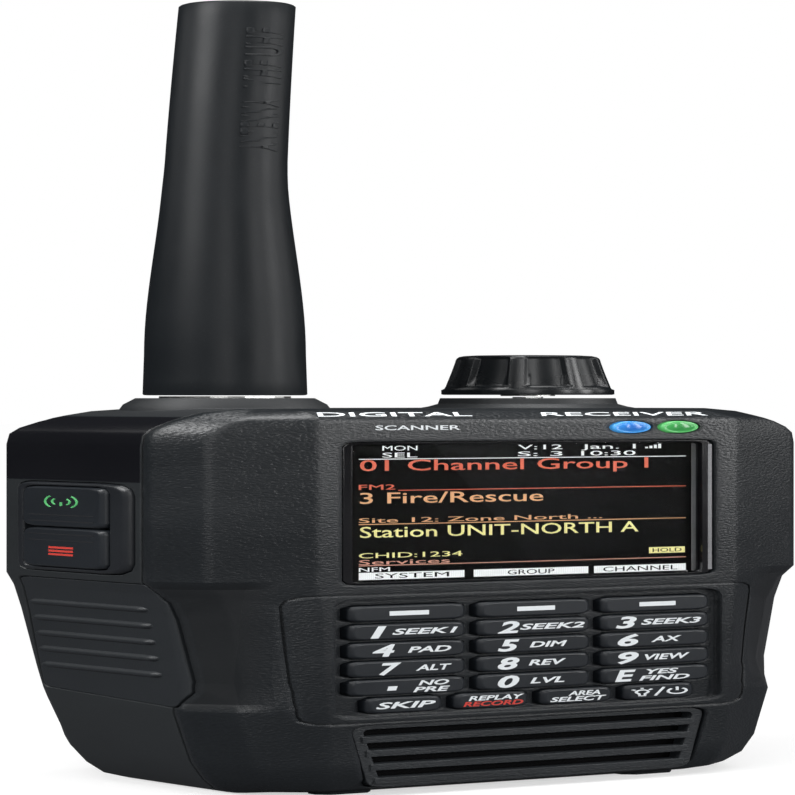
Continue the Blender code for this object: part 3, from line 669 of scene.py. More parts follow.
@dataclass(frozen=True)
class Ink(Finish):
    """Printing ink: an even colour with slight thin spots."""

    colour: Colour
    roughness: float = 0.55

    def surface(self, nodes: Nodes, effects: Effects) -> Inputs:
        """What the shader's inputs follow or hold."""
        thin = nodes.noise(nodes.place(), 2600.0)
        share = nodes.times(nodes.plus(thin, effects.smudge(nodes)), 0.25)
        return {"Roughness": self.roughness, "Base Color": nodes.mix(share, self.colour, scaled(self.colour, 0.72))}


def wave(nodes: Nodes, along: Socket, pitch: float) -> Socket:
    """A sine wave along an axis, by its pitch in millimetres."""
    return nodes.math("SINE", nodes.times(along, 2 * math.pi / (pitch * MM)))


@dataclass(frozen=True)
class Lit(Finish):
    """Something that shines: emission that dips between display rows, on black."""

    colour: Colour
    strength: float
    pitch: float = 0.18

    def surface(self, nodes: Nodes, effects: Effects) -> Inputs:
        """What the shader's inputs follow or hold."""
        x, _, z = nodes.axes()
        waves = [nodes.times(wave(nodes, along, self.pitch), 0.12) for along in (x, z)]
        level = nodes.plus(nodes.plus(*waves), 0.2, clamp=True)
        return {
            "Roughness": 0.4, "Emission Strength": self.strength,
            "Emission Color": nodes.mix(level, self.colour, scaled(self.colour, 0.6)),
            "Base Color": nodes.mix(level, scaled(self.colour, 0.5), (0.01, 0.01, 0.01)),
        }


@dataclass(frozen=True)
class Lens(Finish):
    """A tinted lamp lens: a deep middle and a brighter rim, glossy, and lit a little from inside."""

    deep: Colour
    bright: Colour
    centre: Point
    radius: float

    def surface(self, nodes: Nodes, effects: Effects) -> Inputs:
        """What the shader's inputs follow or hold."""
        x, z = self.centre
        around = nodes.add("Mapping", {0: nodes.place(), "Location": (-x * MM, 0.0, -z * MM)}).outputs[0]
        flat = nodes.add("VectorMath", {0: around, 1: (1.0, 0.0, 1.0)}, operation="MULTIPLY").outputs[0]
        away = nodes.add("VectorMath", {0: flat}, operation="LENGTH").outputs["Value"]
        rim = nodes.math("POWER", nodes.math("DIVIDE", away, self.radius * MM, clamp=True), 3.0)
        grainy = nodes.times(nodes.noise(around, 1400.0), 0.35)
        colour = nodes.mix(nodes.plus(rim, grainy, clamp=True), self.deep, self.bright)
        return {
            "Roughness": 0.22, "Coat Weight": 0.25, "Emission Strength": 0.5,
            "Base Color": colour, "Emission Color": colour,
        }


@dataclass(frozen=True)
class Backlight(Finish):
    """The dark display surface: near black, with a painted reflection: a broad diagonal glare painted into its colour.
    """

    centre: Point

    def surface(self, nodes: Nodes, effects: Effects) -> Inputs:
        """What the shader's inputs follow or hold."""
        x, _, z = nodes.axes()
        across, up = (nodes.times(nodes.less(value, middle * MM), 1000.0)
                      for value, middle in zip((x, z), self.centre))
        edge = nodes.plus(across, nodes.times(up, 0.25))
        step = nodes.times(nodes.plus(edge, 3.6), 2.5, clamp=True)
        fade = nodes.math("DIVIDE", nodes.less(15.0, across), 16.0, clamp=True)
        drop = nodes.plus(nodes.times(up, 0.018), 0.62, clamp=True)
        # Painted reflection: lighter colour right of a diagonal edge, fading towards the right and towards the bottom,
        # standing in for glare on the display.
        painted_glare = nodes.times(nodes.times(step, fade), drop)
        colour = nodes.mix(painted_glare, (0.0012, 0.0012, 0.0014), (0.012, 0.012, 0.013))
        return {"Roughness": 0.5, "Specular IOR Level": 0.08, "Base Color": colour}


@dataclass(frozen=True)
class Board(Finish):
    """Circuit board: solder mask with copper tracks and pads under it."""

    def surface(self, nodes: Nodes, effects: Effects) -> Inputs:
        """What the shader's inputs follow or hold."""
        place = nodes.place()

        def cells(feature: str, scale: float, limit: float) -> Socket:
            """1 where a cell pattern is below a limit."""
            pattern = nodes.add("TexVoronoi", {"Scale": scale, "Vector": place}, feature=feature)
            return nodes.math("LESS_THAN", pattern.outputs["Distance"], limit)

        track, pad = cells("DISTANCE_TO_EDGE", 320.0, 0.05), cells("F1", 420.0, 0.16)
        colour = nodes.mix(track, (0.012, 0.085, 0.038), (0.03, 0.17, 0.075))
        return {
            "Roughness": 0.35, "Base Color": nodes.mix(pad, colour, (0.62, 0.52, 0.30)),
            "Normal": nodes.bump(nodes.plus(track, pad), 0.03),
        }


@dataclass(frozen=True)
class Cloth(Finish):
    """Woven dust cloth behind the slats: a fine over-and-under weave, near black: the cloth's own dark colour made
    darker still as painted shade in the gaps between the slats.
    """

    # Darker than the cloth itself: painted shade in the gaps between the slats.
    colour: Colour = (0.003, 0.003, 0.0035)
    pitch: float = 0.5

    def surface(self, nodes: Nodes, effects: Effects) -> Inputs:
        """What the shader's inputs follow or hold."""
        x, _, z = nodes.axes()
        weave = nodes.times(wave(nodes, x, self.pitch), wave(nodes, z, self.pitch))
        share = nodes.plus(nodes.times(weave, 0.5), 0.5, clamp=True)
        return {
            "Roughness": 0.95, "Specular IOR Level": 0.1, "Normal": nodes.bump(weave, 0.08),
            "Base Color": nodes.mix(share, scaled(self.colour, 0.4), self.colour),
        }


@dataclass(frozen=True)
class Glass(Finish):
    """The clear display window: polished, with faint smears in its roughness."""

    def surface(self, nodes: Nodes, effects: Effects) -> Inputs:
        """What the shader's inputs follow or hold."""
        return {
            "Base Color": (0.97, 0.98, 0.98), "Transmission Weight": 1.0, "IOR": 1.12,
            "Roughness": nodes.times(effects.smudge(nodes), 0.03),
        }


DUST = (0.35, 0.35, 0.34)
DARK = (0.0095, 0.0118, 0.0140)
# Finger recess on the front's sides: its darker colour is painted shade in the recess, its sinking a bump; its
# roughness and grain are its own.
SCOOP_PAINTED_SHADE = Zone(28.0, 69.0, 23.4, -19.0, -8.8, (0.006, 0.0075, 0.009), 0.40, 0.12, soft=2.4, depth=0.5)
GLOSSY_SIDE = Zone(99.6, 120.6, 24.0, -9.9, 15.5, (0.006, 0.006, 0.008), 0.16, 0.0)
DECK = Zone(120.6, 130.0, 0.0, -12.0, 20.0, (0.012, 0.014, 0.016), 0.55, 0.25)

FINISHES = {
    "grained": Moulded("grained moulding", DARK, 0.34, 0.40, 1.0, edge=0.9, wear_and_highlight=0.5, relief=0.07, zones=(SCOOP_PAINTED_SHADE,)),
    "slat": Moulded("grained slats", (0.017, 0.020, 0.023), 0.48, 0.38, 1.0, edge=0.22, relief=0.1),
    "smooth": Moulded("satin moulding", (0.017, 0.020, 0.022), 0.44, 0.3, 0.10, edge=0.45, zones=(GLOSSY_SIDE, DECK)),
    "satin": Moulded("satin trim", (0.012, 0.014, 0.017), 0.36, 0.3, 0.05, edge=0.25),
    "knob": Moulded("knob moulding", (0.006, 0.0075, 0.009), 0.28, 0.25, 0.05, edge=0.2),
    "gloss": Moulded("gloss trim", (0.006, 0.006, 0.007), 0.14, 0.3, 0.0, edge=0.2, wear_and_highlight=0.2, coat=0.3),
    "rubber": Moulded("grip rubber", (0.014, 0.017, 0.020), 0.50, 0.22, 0.25, edge=0.30, gloss=0.5),
    "key": Moulded("key rubber", (0.011, 0.014, 0.018), 0.40, 0.2, 0.12, edge=0.15, wear_and_highlight=0.3),
    "whip": Moulded("antenna rubber", (0.0085, 0.0105, 0.0125), 0.42, 0.25, 0.12, edge=0.3, gloss=0.2),
    "pack": Moulded("battery wrap", (0.05, 0.055, 0.06), 0.35, 0.5, 0.1, edge=0.4),
    # edge: a pale finish for strips that are painted highlights beside the display window and on its bezel.
    "edge": Moulded("window edge", (0.24, 0.24, 0.25), 0.35, 0.3, 0.05, edge=0.1),
    "metal": Metal("plated metal", (0.66, 0.66, 0.64), 0.30),
    "brass": Metal("contact brass", (0.80, 0.60, 0.28), 0.26),
    "board": Board("circuit board"),
    "cloth": Cloth("dust cloth"),
    "glass": Glass("window glass"),
    # The display surface's colour carries a painted reflection: a broad diagonal glare.
    "screen": Backlight("display surface", (0.0, 90.0)),
    "dark_line": Ink("shadow line", (0.006, 0.007, 0.009), 0.7),
    "white": Ink("white ink", (0.82, 0.86, 0.88)),
    "red": Ink("red ink", (0.62, 0.05, 0.035)),
    "green": Ink("green ink", (0.10, 0.48, 0.16)),
    "lit_white": Lit("white pixels", (0.80, 0.82, 0.82), 0.85),
    "lit_red": Lit("red pixels", (0.66, 0.12, 0.06), 0.8),
    "lit_orange": Lit("orange pixels", (0.72, 0.38, 0.18), 0.8),
    "lit_yellow": Lit("yellow pixels", (0.80, 0.74, 0.30), 0.8),
    "lit_pink": Lit("pink pixels", (0.62, 0.30, 0.22), 0.8),
    "blue_lens": Lens("blue lens", (0.001, 0.075, 0.36), (0.06, 0.30, 0.66), (9.6, 116.8), 2.0),
    "green_lens": Lens("green lens", (0.006, 0.14, 0.022), (0.09, 0.42, 0.12), (14.5, 116.8), 2.0),
}


class Shop:
    """The built finishes, and the calls that dress a piece and put it on its body."""

    def __init__(self) -> None:
        """Builds every finish once."""
        effects = Effects()
        self.materials = {key: finish.build(effects) for key, finish in FINISHES.items()}

    def dress(self, obj: Obj, finish: str, slot: str, body: str = "housing",
              stands_for: str = "") -> Obj:
        """Gives a piece its finish and its body.

        Args:
            obj: The piece.
            finish: Key of the finish.
            slot: Material slot of the record; not used.
            body: Body that it moves with.
            stands_for: Frame node that it replaces, if any.

        Returns:
            The piece.
        """
        obj.data.materials.clear()
        obj.data.materials.append(self.materials[finish])
        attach(obj, body)
        if stands_for:
            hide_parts(stands_for)
        LOG.info("%s: %d faces, on %s", obj.name, len(obj.data.polygons), body)
        return obj

    def refit(self, node: str, name: str, finish: str, slot: str, body: str = "housing",
              rounding: tuple[float, ...] = ()) -> None:
        """Puts a refined copy in the place of a frame node.

        Args:
            node: The frame node.
            name: Name of the new piece.
            finish: Key of the finish.
            slot: Material slot of the record.
            body: Body that it moves with.
            rounding: Width, steps and least angle of the edge rounding.
        """
        self.dress(refined(node, name, *rounding), finish, slot, body, node)

    def paint(self, node: str, finish: str) -> None:
        """Gives a frame node that stays a better finish."""
        for place in bpy.data.objects[node].material_slots:
            place.material = self.materials[finish]


# ---------------------------------------------------------------- sub-assemblies


@dataclass
class Case:
    """Front and rear housings, grips, lid and small outer parts."""

    shop: Shop
    front: float = 17.4

    def build(self) -> None:
        """Builds the outer mouldings."""
        shop = self.shop
        shop.refit("front_housing", "front_shell", "grained", "grained_plastic")
        shop.refit("rear_housing", "rear_shell", "smooth", "smooth_plastic")
        for side in ("left", "right"):
            shop.refit(f"{side}_grip", f"{side}_grip_pad", "rubber", "grip_rubber")
        shop.refit("battery_lid", "battery_cover", "smooth", "smooth_plastic", "battery_door", (0.18, 2))
        shop.refit("battery_latch", "battery_latch_tab", "satin", "satin_plastic", "door_latch", (0.1, 2))
        shop.refit("port_cover", "port_flap_cover", "rubber", "grip_rubber", "port_flap", (0.2, 3, 25.0))
        self.marks()

    def marks(self) -> None:
        """Generic words on the upper bevel and under it."""
        words = [
            Print("DIGITAL", -12.6, 0.0, 1.9, 14.6, 0.3, 0.010),
            Print("RECEIVER", 9.9, 0.0, 1.7, 17.0, 0.3, 0.006),
        ]
        prints = [self.wrap(word.flat(0.07), word.x) for word in words]
        prints.append(Print("SCANNER", -11.3, 116.3, 1.4, 8.0, 0.0, 0.010).on(self.front))
        self.shop.dress(joined("case_marks", prints), "white", "grained_plastic")

    @staticmethod
    def wrap(obj: Obj, x: float, start: float = 1.2) -> Obj:
        """Lays a flat print over the bevel along the top of the front.

        Args:
            obj: The flat print, in metres.
            x: Place of its middle in millimetres.
            start: How far up the bevel its base line lies, in millimetres.

        Returns:
            The print on the bevel.
        """
        profile = [(-17.2, 118.5 + STAND), (-16.4, 119.4 + STAND), (-14.7, 120.8 + STAND), (-12.6, 121.8 + STAND)]
        reach = [0.0]
        for (y0, z0), (y1, z1) in zip(profile, profile[1:]):
            reach.append(reach[-1] + math.hypot(y1 - y0, z1 - z0))
        mesh = bmesh.new()
        mesh.from_mesh(obj.data)
        for cut in [(r - start) * MM for r in reach[1:3] if r > start]:
            everything = mesh.verts[:] + mesh.edges[:] + mesh.faces[:]
            bmesh.ops.bisect_plane(mesh, geom=everything, plane_co=(0, cut, 0), plane_no=(0, 1, 0))
        for vert in mesh.verts:
            along, out = vert.co.y / MM, vert.co.z / MM
            along = max(along, 0.0) + start
            step = max(i for i in range(3) if reach[i] <= along or i == 0)
            (y0, z0), (y1, z1) = profile[step], profile[step + 1]
            length = reach[step + 1] - reach[step]
            share = (along - reach[step]) / length
            normal = Vector((0, -(z1 - z0), y1 - y0)) / length
            point = Vector((x + vert.co.x / MM, y0 + (y1 - y0) * share, z0 + (z1 - z0) * share)) + normal * (out + 0.02)
            vert.co = point * MM
        mesh.to_mesh(obj.data)
        mesh.free()
        return obj


@dataclass
class Display:
    """Bezel, window, display surface and what it shows."""

    shop: Shop
    left: float = -15.9
    right: float = 16.3
    surface: float = 15.98

    def rows(self) -> dict[str, list[Print]]:
        """The words on the display, by colour. Heights are of their base lines."""
        left = self.left

        def text(words: str, x: float, z: float, height: float, width: float, weight: float = 0.0) -> Print:
            """Words that start at x."""
            return Print(words, x, z, height, width, 0.0, weight, False)

        return {
            "white": [
                text("MON", left + 2.2, 109.7, 1.5, 3.3),
                text("SEL", left + 2.2, 107.5, 1.5, 3.3),
                text("V:12", -0.7, 109.7, 1.5, 4.4),
                text("S: 3", -0.7, 107.5, 1.5, 4.4),
                text("Jan. 1", 5.6, 109.7, 1.5, 5.5),
                text("10:30", 5.6, 107.5, 1.5, 5.5),
                text("NFM", left, 71.3, 1.3, 2.9),
            ],
            "red": [
                text("01 Channel Group 1", left + 0.1, 103.3, 3.4, 28.2, 0.004),
                text("FM2", left, 97.3, 1.6, 3.4),
            ],
            "orange": [
                text("3 Fire/Rescue", left + 0.1, 92.9, 3.4, 17.6, 0.004),
                text("Site 12: Zone North ...", left, 86.8, 1.5, 23.6),
            ],
            "yellow": [
                text("Station UNIT-NORTH A", left + 0.1, 82.1, 3.4, 27.2, 0.004),
                text("CHID:1234", left, 75.6, 1.6, 9.8),
            ],
            "pink": [text("Services", left, 73.5, 1.5, 8.6)],
        }

    def lines(self) -> dict[str, list[tuple[float, float]]]:
        """Thin rules across the display: height and left end, by colour."""
        return {"white": [(107.0, self.left)], "red": [(97.0, -12.2)], "orange": [(86.3, self.left)],
                "pink": [(73.2, self.left)]}

    def build(self) -> None:
        """Builds the display from the back to the front."""
        shop = self.shop
        shop.refit("display_bezel", "display_frame", "gloss", "gloss_plastic", rounding=(0.12, 2))
        module = block("display_module", Vector((-18.0, -15.2, 66.6)), Vector((18.0, -12.6, 113.4)))
        face = block("display_surface", Vector((-16.9, -15.9, 68.4)), Vector((16.9, -15.0, 111.6)), 0.1)
        both = joined("display_panel", [module, face])
        shop.dress(both, "screen", "lcd", stands_for="lcd_panel")
        shop.refit("display_window", "display_glass", "glass", "window_glass", rounding=(0.12, 2))
        low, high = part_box("display_window")
        # Painted highlights: pale strips along both sides of the window glass, standing in for light on its edges.
        edges = [bar("edge", (x, low.z / MM + 0.2), (x + wide, high.z / MM - 0.2), 15.99, 0.05)
                 for x, wide in ((-17.1, 0.45), (16.85, 0.55))]
        shop.dress(joined("window_edges", edges), "edge", "gloss_plastic")
        # Painted highlight: a pale strip on the bezel beside the window, standing in for light on its inner bevel.
        rim = bar("window_rim", (17.75, low.z / MM + 0.6), (18.15, high.z / MM - 0.6), 17.12)
        shop.dress(rim, "edge", "gloss_plastic")
        shades = ("white", "red", "orange", "yellow", "pink")
        parts: dict[str, list[Obj]] = {shade: [] for shade in shades}
        ink, back = self.surface - 0.05, self.surface - 0.06
        for shade, prints in self.rows().items():
            parts[shade] += [word.on(ink, 0.03) for word in prints]
        for shade, rules in self.lines().items():
            for z, start in rules:
                parts[shade].append(bar("rule", (start, z - 0.12), (self.right, z + 0.12), ink, 0.03))
        for start, end in ((self.left, -5.9), (-5.0, 6.3), (6.9, self.right)):
            parts["white"].append(bar("tab", (start, 68.7), (end, 71.0), back, 0.02))
        for i in range(4):
            foot = 12.1 + 0.45 * i
            parts["white"].append(bar("signal", (foot, 109.7), (foot + 0.28, 110.2 + 0.33 * i), ink, 0.03))
        parts["yellow"].append(bar("hold", (12.5, 74.7), (16.2, 76.7), back, 0.02))
        for shade, made in parts.items():
            shop.dress(joined(f"display_{shade}", made), f"lit_{shade}", "lcd")
        captions = [
            Print("SYSTEM", -10.9, 69.1, 1.5, 7.0), Print("GROUP", 0.6, 69.1, 1.5, 4.6),
            Print("CHANNEL", 11.6, 69.1, 1.5, 7.6), Print("HOLD", 14.35, 75.1, 1.2, 3.0),
        ]
        made = [word.on(self.surface - 0.035, 0.02) for word in captions]
        shop.dress(joined("display_captions", made), "gloss", "lcd")


@dataclass
class Keys:
    """The front keys with their legends."""

    shop: Shop
    face: float = 17.5

    def legends(self) -> dict[str, list[Print]]:
        """Legends of each key, placed from the key's middle."""

        def digit(sign: str, x: float = -2.7) -> Print:
            """A large slanted figure."""
            return Print(sign, x, -1.75, 3.5, 2.1 if sign != "1" else 1.5, 0.22, 0.03)

        def word(text: str, x: float, wide: float, z: float = -0.9, tall: float = 1.75) -> Print:
            """A small slanted word."""
            return Print(text, x, z, tall, wide, 0.25, 0.022)

        return {
            "key_1": [digit("1", -2.9), word("SEEK1", 1.5, 6.2)],
            "key_2": [digit("2"), word("SEEK2", 1.6, 6.4)],
            "key_3": [digit("3", -3.2), word("SEEK3", 1.4, 6.2)],
            "key_4": [digit("4", -2.4), word("PAD", 1.9, 4.1)],
            "key_5": [digit("5"), word("DIM", 1.2, 3.7)],
            "key_6": [digit("6", -3.0), word("AX", 0.9, 3.1)],
            "key_7": [digit("7", -1.8), word("ALT", 2.3, 3.4)],
            "key_8": [digit("8"), word("REV", 1.1, 3.7)],
            "key_9": [digit("9", -3.0), word("VIEW", 1.0, 4.6)],
            "key_dot": [Print("■", -1.6, -1.0, 1.2, 1.0, 0.2, 0.01), word("NO", 2.3, 2.9, 0.25, 1.5),
                        word("PRE", 2.1, 3.5, -1.85, 1.5)],
            "key_0": [digit("0"), word("LVL", 1.1, 3.4)],
            "key_enter": [digit("E", -3.3), word("YES", 0.5, 3.3, 0.25, 1.5), word("FIND", 0.7, 5.2, -1.85, 1.5)],
            "key_skip": [word("SKIP", 0.0, 5.6, -0.95, 1.9)],
            "key_replay": [word("REPLAY", 0.3, 5.4, 0.2, 1.4)],
            "key_area": [word("AREA", 0.6, 3.2, 0.2, 1.4), word("SELECT", 0.0, 5.6, -1.6, 1.4)],
        }

    def place(self, words: list[Print], x: float, z: float) -> list[Obj]:
        """Prints moved to a key's middle and laid on its face."""
        made = []
        for each in words:
            moved = Print(each.words, each.x + x, each.z + z, each.height, each.width, each.slant, each.weight)
            made.append(moved.on(self.face + 0.01))
        return made

    def build(self) -> None:
        """Rounds every key cap and prints its legend."""
        for node in sorted(name for name in bpy.data.objects.keys() if name.startswith("key_")):
            low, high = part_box(node)
            x, z = (low.x + high.x) / 2 / MM, (low.z + high.z) / 2 / MM
            self.shop.refit(node, f"{node}_cap", "key", "key_rubber", node, (0.16, 3, 18.0))
            white = self.place(self.legends().get(node, []), x, z)
            if node.startswith("key_soft"):
                white.append(bar("soft", (x - 1.85, z - 0.7), (x + 1.85, z + 0.7), self.face + 0.01))
            if node == "key_power":
                white += self.icons(x, z)
            self.shop.dress(joined(f"{node}_print", white), "white", "key_rubber", node)
            if node == "key_replay":
                red = self.place([Print("RECORD", 0.0, -1.6, 1.4, 5.8, 0.25, 0.022)], x, z)
                self.shop.dress(joined(f"{node}_red_print", red), "red", "key_rubber", node)

    def icons(self, x: float, z: float) -> list[Obj]:
        """A lamp, a slash and a standby sign."""
        depth = self.face + 0.02
        shapes = [
            arc((x - 1.9, z + 0.1), 0.62, -60, 240),
            [(x - 2.2, z - 0.45), (x - 2.2, z - 1.2), (x - 1.6, z - 1.2), (x - 1.6, z - 0.45)],
            [(x - 0.55, z - 1.3), (x + 0.35, z + 1.4)],
            arc((x + 1.7, z - 0.1), 0.95, 125, 415, 18),
            [(x + 1.7, z + 0.1), (x + 1.7, z + 1.25)],
        ]
        for turn in (40, 90, 140):
            a = math.radians(turn)
            near, far = 0.95, 1.35
            shapes.append([(x - 1.9 + near * math.cos(a), z + 0.1 + near * math.sin(a)),
                           (x - 1.9 + far * math.cos(a), z + 0.1 + far * math.sin(a))])
        return [stroke("icon", points, 0.34, depth) for points in shapes]


@dataclass
class SideKeys:
    """The two keys on the left side in their bezel, with their signs."""

    shop: Shop
    face: float = 32.64

    def build(self) -> None:
        """Builds the bezel, the keys and the signs."""
        shop = self.shop
        shop.refit("side_key_bezel", "side_key_frame", "satin", "satin_plastic", rounding=(0.3, 3, 20.0))
        for node in ("side_key_upper", "side_key_lower"):
            cap = refined(node, f"{node}_cap", 0.25, 3, 18.0)
            for vert in cap.data.vertices:
                vert.co.x = max(vert.co.x, -self.face * MM)
            shop.dress(cap, "key", "key_rubber", node, node)
        low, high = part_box("side_key_upper")
        y, z = -(low.y + high.y) / 2 / MM, (low.z + high.z) / 2 / MM + 1.4
        waves = [stroke("mast", [(y, z - 1.0), (y, z + 0.2)], 0.45, self.face, Facing.LEFT)]
        for side, start in ((1, -50), (-1, 130)):
            for radius in (1.2, 2.3):
                waves.append(stroke("wave", arc((y + 0.15 * side, z + 0.3), radius, start, start + 100), 0.42,
                                    self.face, Facing.LEFT))
        shop.dress(joined("antenna_sign", waves), "green", "key_rubber", "side_key_upper")
        low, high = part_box("side_key_lower")
        z = (low.z + high.z) / 2 / MM - 1.0
        bars = [bar("bar", (y - 1.9, z - 0.32 + 1.1 * i), (y + 1.9, z + 0.32 + 1.1 * i), self.face, facing=Facing.LEFT)
                for i in (-1, 0, 1)]
        shop.dress(joined("menu_sign", bars), "red", "key_rubber", "side_key_lower")
        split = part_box("side_key_upper")[0].z / MM
        for node, places in (("side_key_upper", (1.9, 3.9)), ("side_key_lower", (-2.3, -4.3))):
            lines = [bar("groove", (y - 5.0, split + up - 0.14), (y + 5.0, split + up + 0.14), self.face, facing=Facing.LEFT)
                     for up in places]
            shop.dress(joined(f"{node}_grooves", lines), "dark_line", "key_rubber", node)


@dataclass
class Knob:
    """The ribbed control knob."""

    shop: Shop
    centre: Point = (12.9, 1.0)
    base: float = 127.5
    height: float = 13.7
    ribs: int = 8
    segments: int = 128

    def build(self) -> None:
        """Turns the knob, sinks its panels and gives it its finish."""
        base, top = self.base, self.base + self.height
        profile = [
            (5.0, base + 0.01), (7.1, base), (7.3, base + 0.2), (7.3, base + 1.7), (7.15, base + 1.9),
            (7.02, base + 2.2), (7.0, base + 2.5), (6.97, base + 2.9), (6.9, base + 3.6), (6.5, base + 7.6),
            (6.2, base + 10.9), (6.12, top - 1.7), (6.03, top - 1.1), (5.8, top - 0.6), (5.4, top - 0.28),
            (4.6, top - 0.1), (3.2, top - 0.02), (0.4, top),
        ]
        knob = lathe("control_knob_cap", profile, self.centre, self.segments)
        cx, cy = self.centre
        low, high = base + 2.5, top - 1.1
        for vert in knob.data.vertices:
            x, y, z = vert.co.x / MM - cx, vert.co.y / MM - cy, vert.co.z / MM
            if not low < z < high + 0.3:
                continue
            turn = (math.atan2(y, x) / (2 * math.pi) * self.ribs) % 1.0
            away = min(turn, 1.0 - turn)
            sunk = min(max((away - 0.11) / 0.09, 0.0), 1.0)
            sunk = sunk * sunk * (3 - 2 * sunk) * min((z - low) / 0.5, 1.0)
            shrink = 1.0 - 0.62 * sunk / math.hypot(x, y)
            vert.co.x = (cx + x * shrink) * MM
            vert.co.y = (cy + y * shrink) * MM
        smooth(knob, 50.0)
        self.shop.dress(knob, "knob", "satin_plastic", "control_knob", "volume_knob")


@dataclass
class Antenna:
    """The rubber whip with a slight set, and its raised generic words."""

    shop: Shop
    centre: Point = (-17.3, 1.0)
    foot: float = 127.3
    tip: float = 256.2
    bend_from: float = 194.2
    bend: float = 1.0

    def radius(self, z: float) -> float:
        """Radius of the whip at a height in millimetres."""
        above = min(max((self.tip - z) / (self.tip - 208.2), 0.0), 1.0)
        flare = min(max((208.2 - z) / 67.0, 0.0), 1.0)
        flare = flare * flare * (3 - 2 * flare)
        toe = 0.12 * max(141.2 - z, 0.0) / (141.2 - self.foot)
        return 4.7 + 0.22 * above + 1.58 * flare + toe

    def set_over(self, obj: Obj) -> Obj:
        """Leans the upper part of a straight piece as the whip leans."""
        for vert in obj.data.vertices:
            share = max(vert.co.z / MM - self.bend_from, 0.0) / (self.tip - self.bend_from)
            vert.co += Vector((0.82, -0.57, 0.0)) * (self.bend * MM * share**1.25)
        return obj

    def build(self) -> None:
        """Turns the whip and raises its words."""
        low, high = self.foot, self.tip
        profile = [(self.radius(low) - 0.35, low), (self.radius(low) - 0.1, low + 0.1)]
        steps = 30
        for i in range(steps + 1):
            z = low + 0.4 + (high - low - 1.3) * i / steps
            profile.append((self.radius(z), z))
        profile += [(4.55, high - 0.45), (4.3, high - 0.16), (3.9, high - 0.02), (2.6, high), (0.3, high)]
        whip = smooth(self.set_over(lathe("whip_sleeve", profile, self.centre, 72)), 40.0, False)
        self.shop.dress(whip, "whip", "antenna_sleeve", "antenna", "antenna_whip")
        words = [self.wrapped("ANTENNA", 207.0, 17.0), self.wrapped("VHF UHF", 227.5, 19.5)]
        self.shop.dress(joined("whip_words", words), "whip", "antenna_sleeve", "antenna")

    def wrapped(self, words: str, start: float, length: float) -> Obj:
        """Raised words that run up the whip, wrapped round it.

        Args:
            words: What they say.
            start: Height where they start, in millimetres.
            length: Their length along the whip.

        Returns:
            The words on the whip's surface.
        """
        obj = Print(words, 0, 0, 3.4, length, 0.0, 0.015, False).flat(0.34)
        apply_modifier(obj, "TRIANGULATE")
        cx, cy = self.centre
        middle = math.radians(-128.0) + math.radians(38.0)
        for vert in obj.data.vertices:
            along, across, out = vert.co.x / MM, vert.co.y / MM - 1.7, vert.co.z / MM
            z = start + along
            reach = self.radius(z) + out - 0.05
            turn = middle - across / reach
            vert.co = Vector((cx + reach * math.cos(turn), cy + reach * math.sin(turn), z)) * MM
        return self.set_over(obj)


@dataclass
class Lamps:
    """Two domed lenses, each with a thin rim."""

    shop: Shop
    places: tuple[tuple[str, float], ...] = (("blue", 9.6), ("green", 14.5))
    height: float = 116.8
    front: float = 17.4

    def build(self) -> None:
        """Turns the lenses and their rims."""
        for shade, x in self.places:
            profile = [(1.95, -2.4), (1.95, 0.0), (1.9, 0.14), (1.75, 0.24), (1.62, 0.22), (1.52, 0.2), (1.3, 0.34),
                       (1.0, 0.46), (0.6, 0.54), (0.1, 0.56)]
            lens = lathe(f"{shade}_lens", profile, (0, 0), 40)
            lens.matrix_world = Facing.FRONT.matrix(x, self.height, self.front)
            smooth(apply_place(lens), 60.0, False)
            self.shop.dress(lens, f"{shade}_lens", f"{shade}_lens", stands_for=f"led_lens_{shade}")


@dataclass
class Inside:
    """What the openings and the open battery door show, and the slats over the speaker."""

    shop: Shop

    def build(self) -> None:
        """Refits the grille with even shading, rounds the pack, and gives the inner parts their finishes."""
        shop = self.shop
        shop.refit("speaker_grille", "speaker_slats", "slat", "grained_plastic")
        shop.refit("battery_pack", "battery_block", "pack", "smooth_plastic", rounding=(0.5, 3))
        for i in range(1, 5):
            shop.refit(f"case_screw_{i}", f"case_screw_head_{i}", "metal", "plated_metal", rounding=(0.12, 2))
        stays = {
            "rubber": ("housing_seal", "keypad_mat"),
            "satin": ("battery_tray", "earphone_jack"),
            "metal": ("antenna_connector", "antenna_socket", "encoder_shaft", "encoder_plunger", "encoder_body",
                      "speaker_frame", "rf_shield", "usb_socket"),
            "brass": ("battery_contact_1", "battery_contact_2"),
            "board": ("main_board", "rf_board"),
            "cloth": ("speaker_cloth", "speaker_cone"),
        }
        for finish, nodes in stays.items():
            for node in nodes:
                shop.paint(node, finish)


@dataclass(frozen=True)
class Lamp:
    """A soft studio light."""

    name: str
    place: Vector
    aim: Vector
    size: Point
    power: float


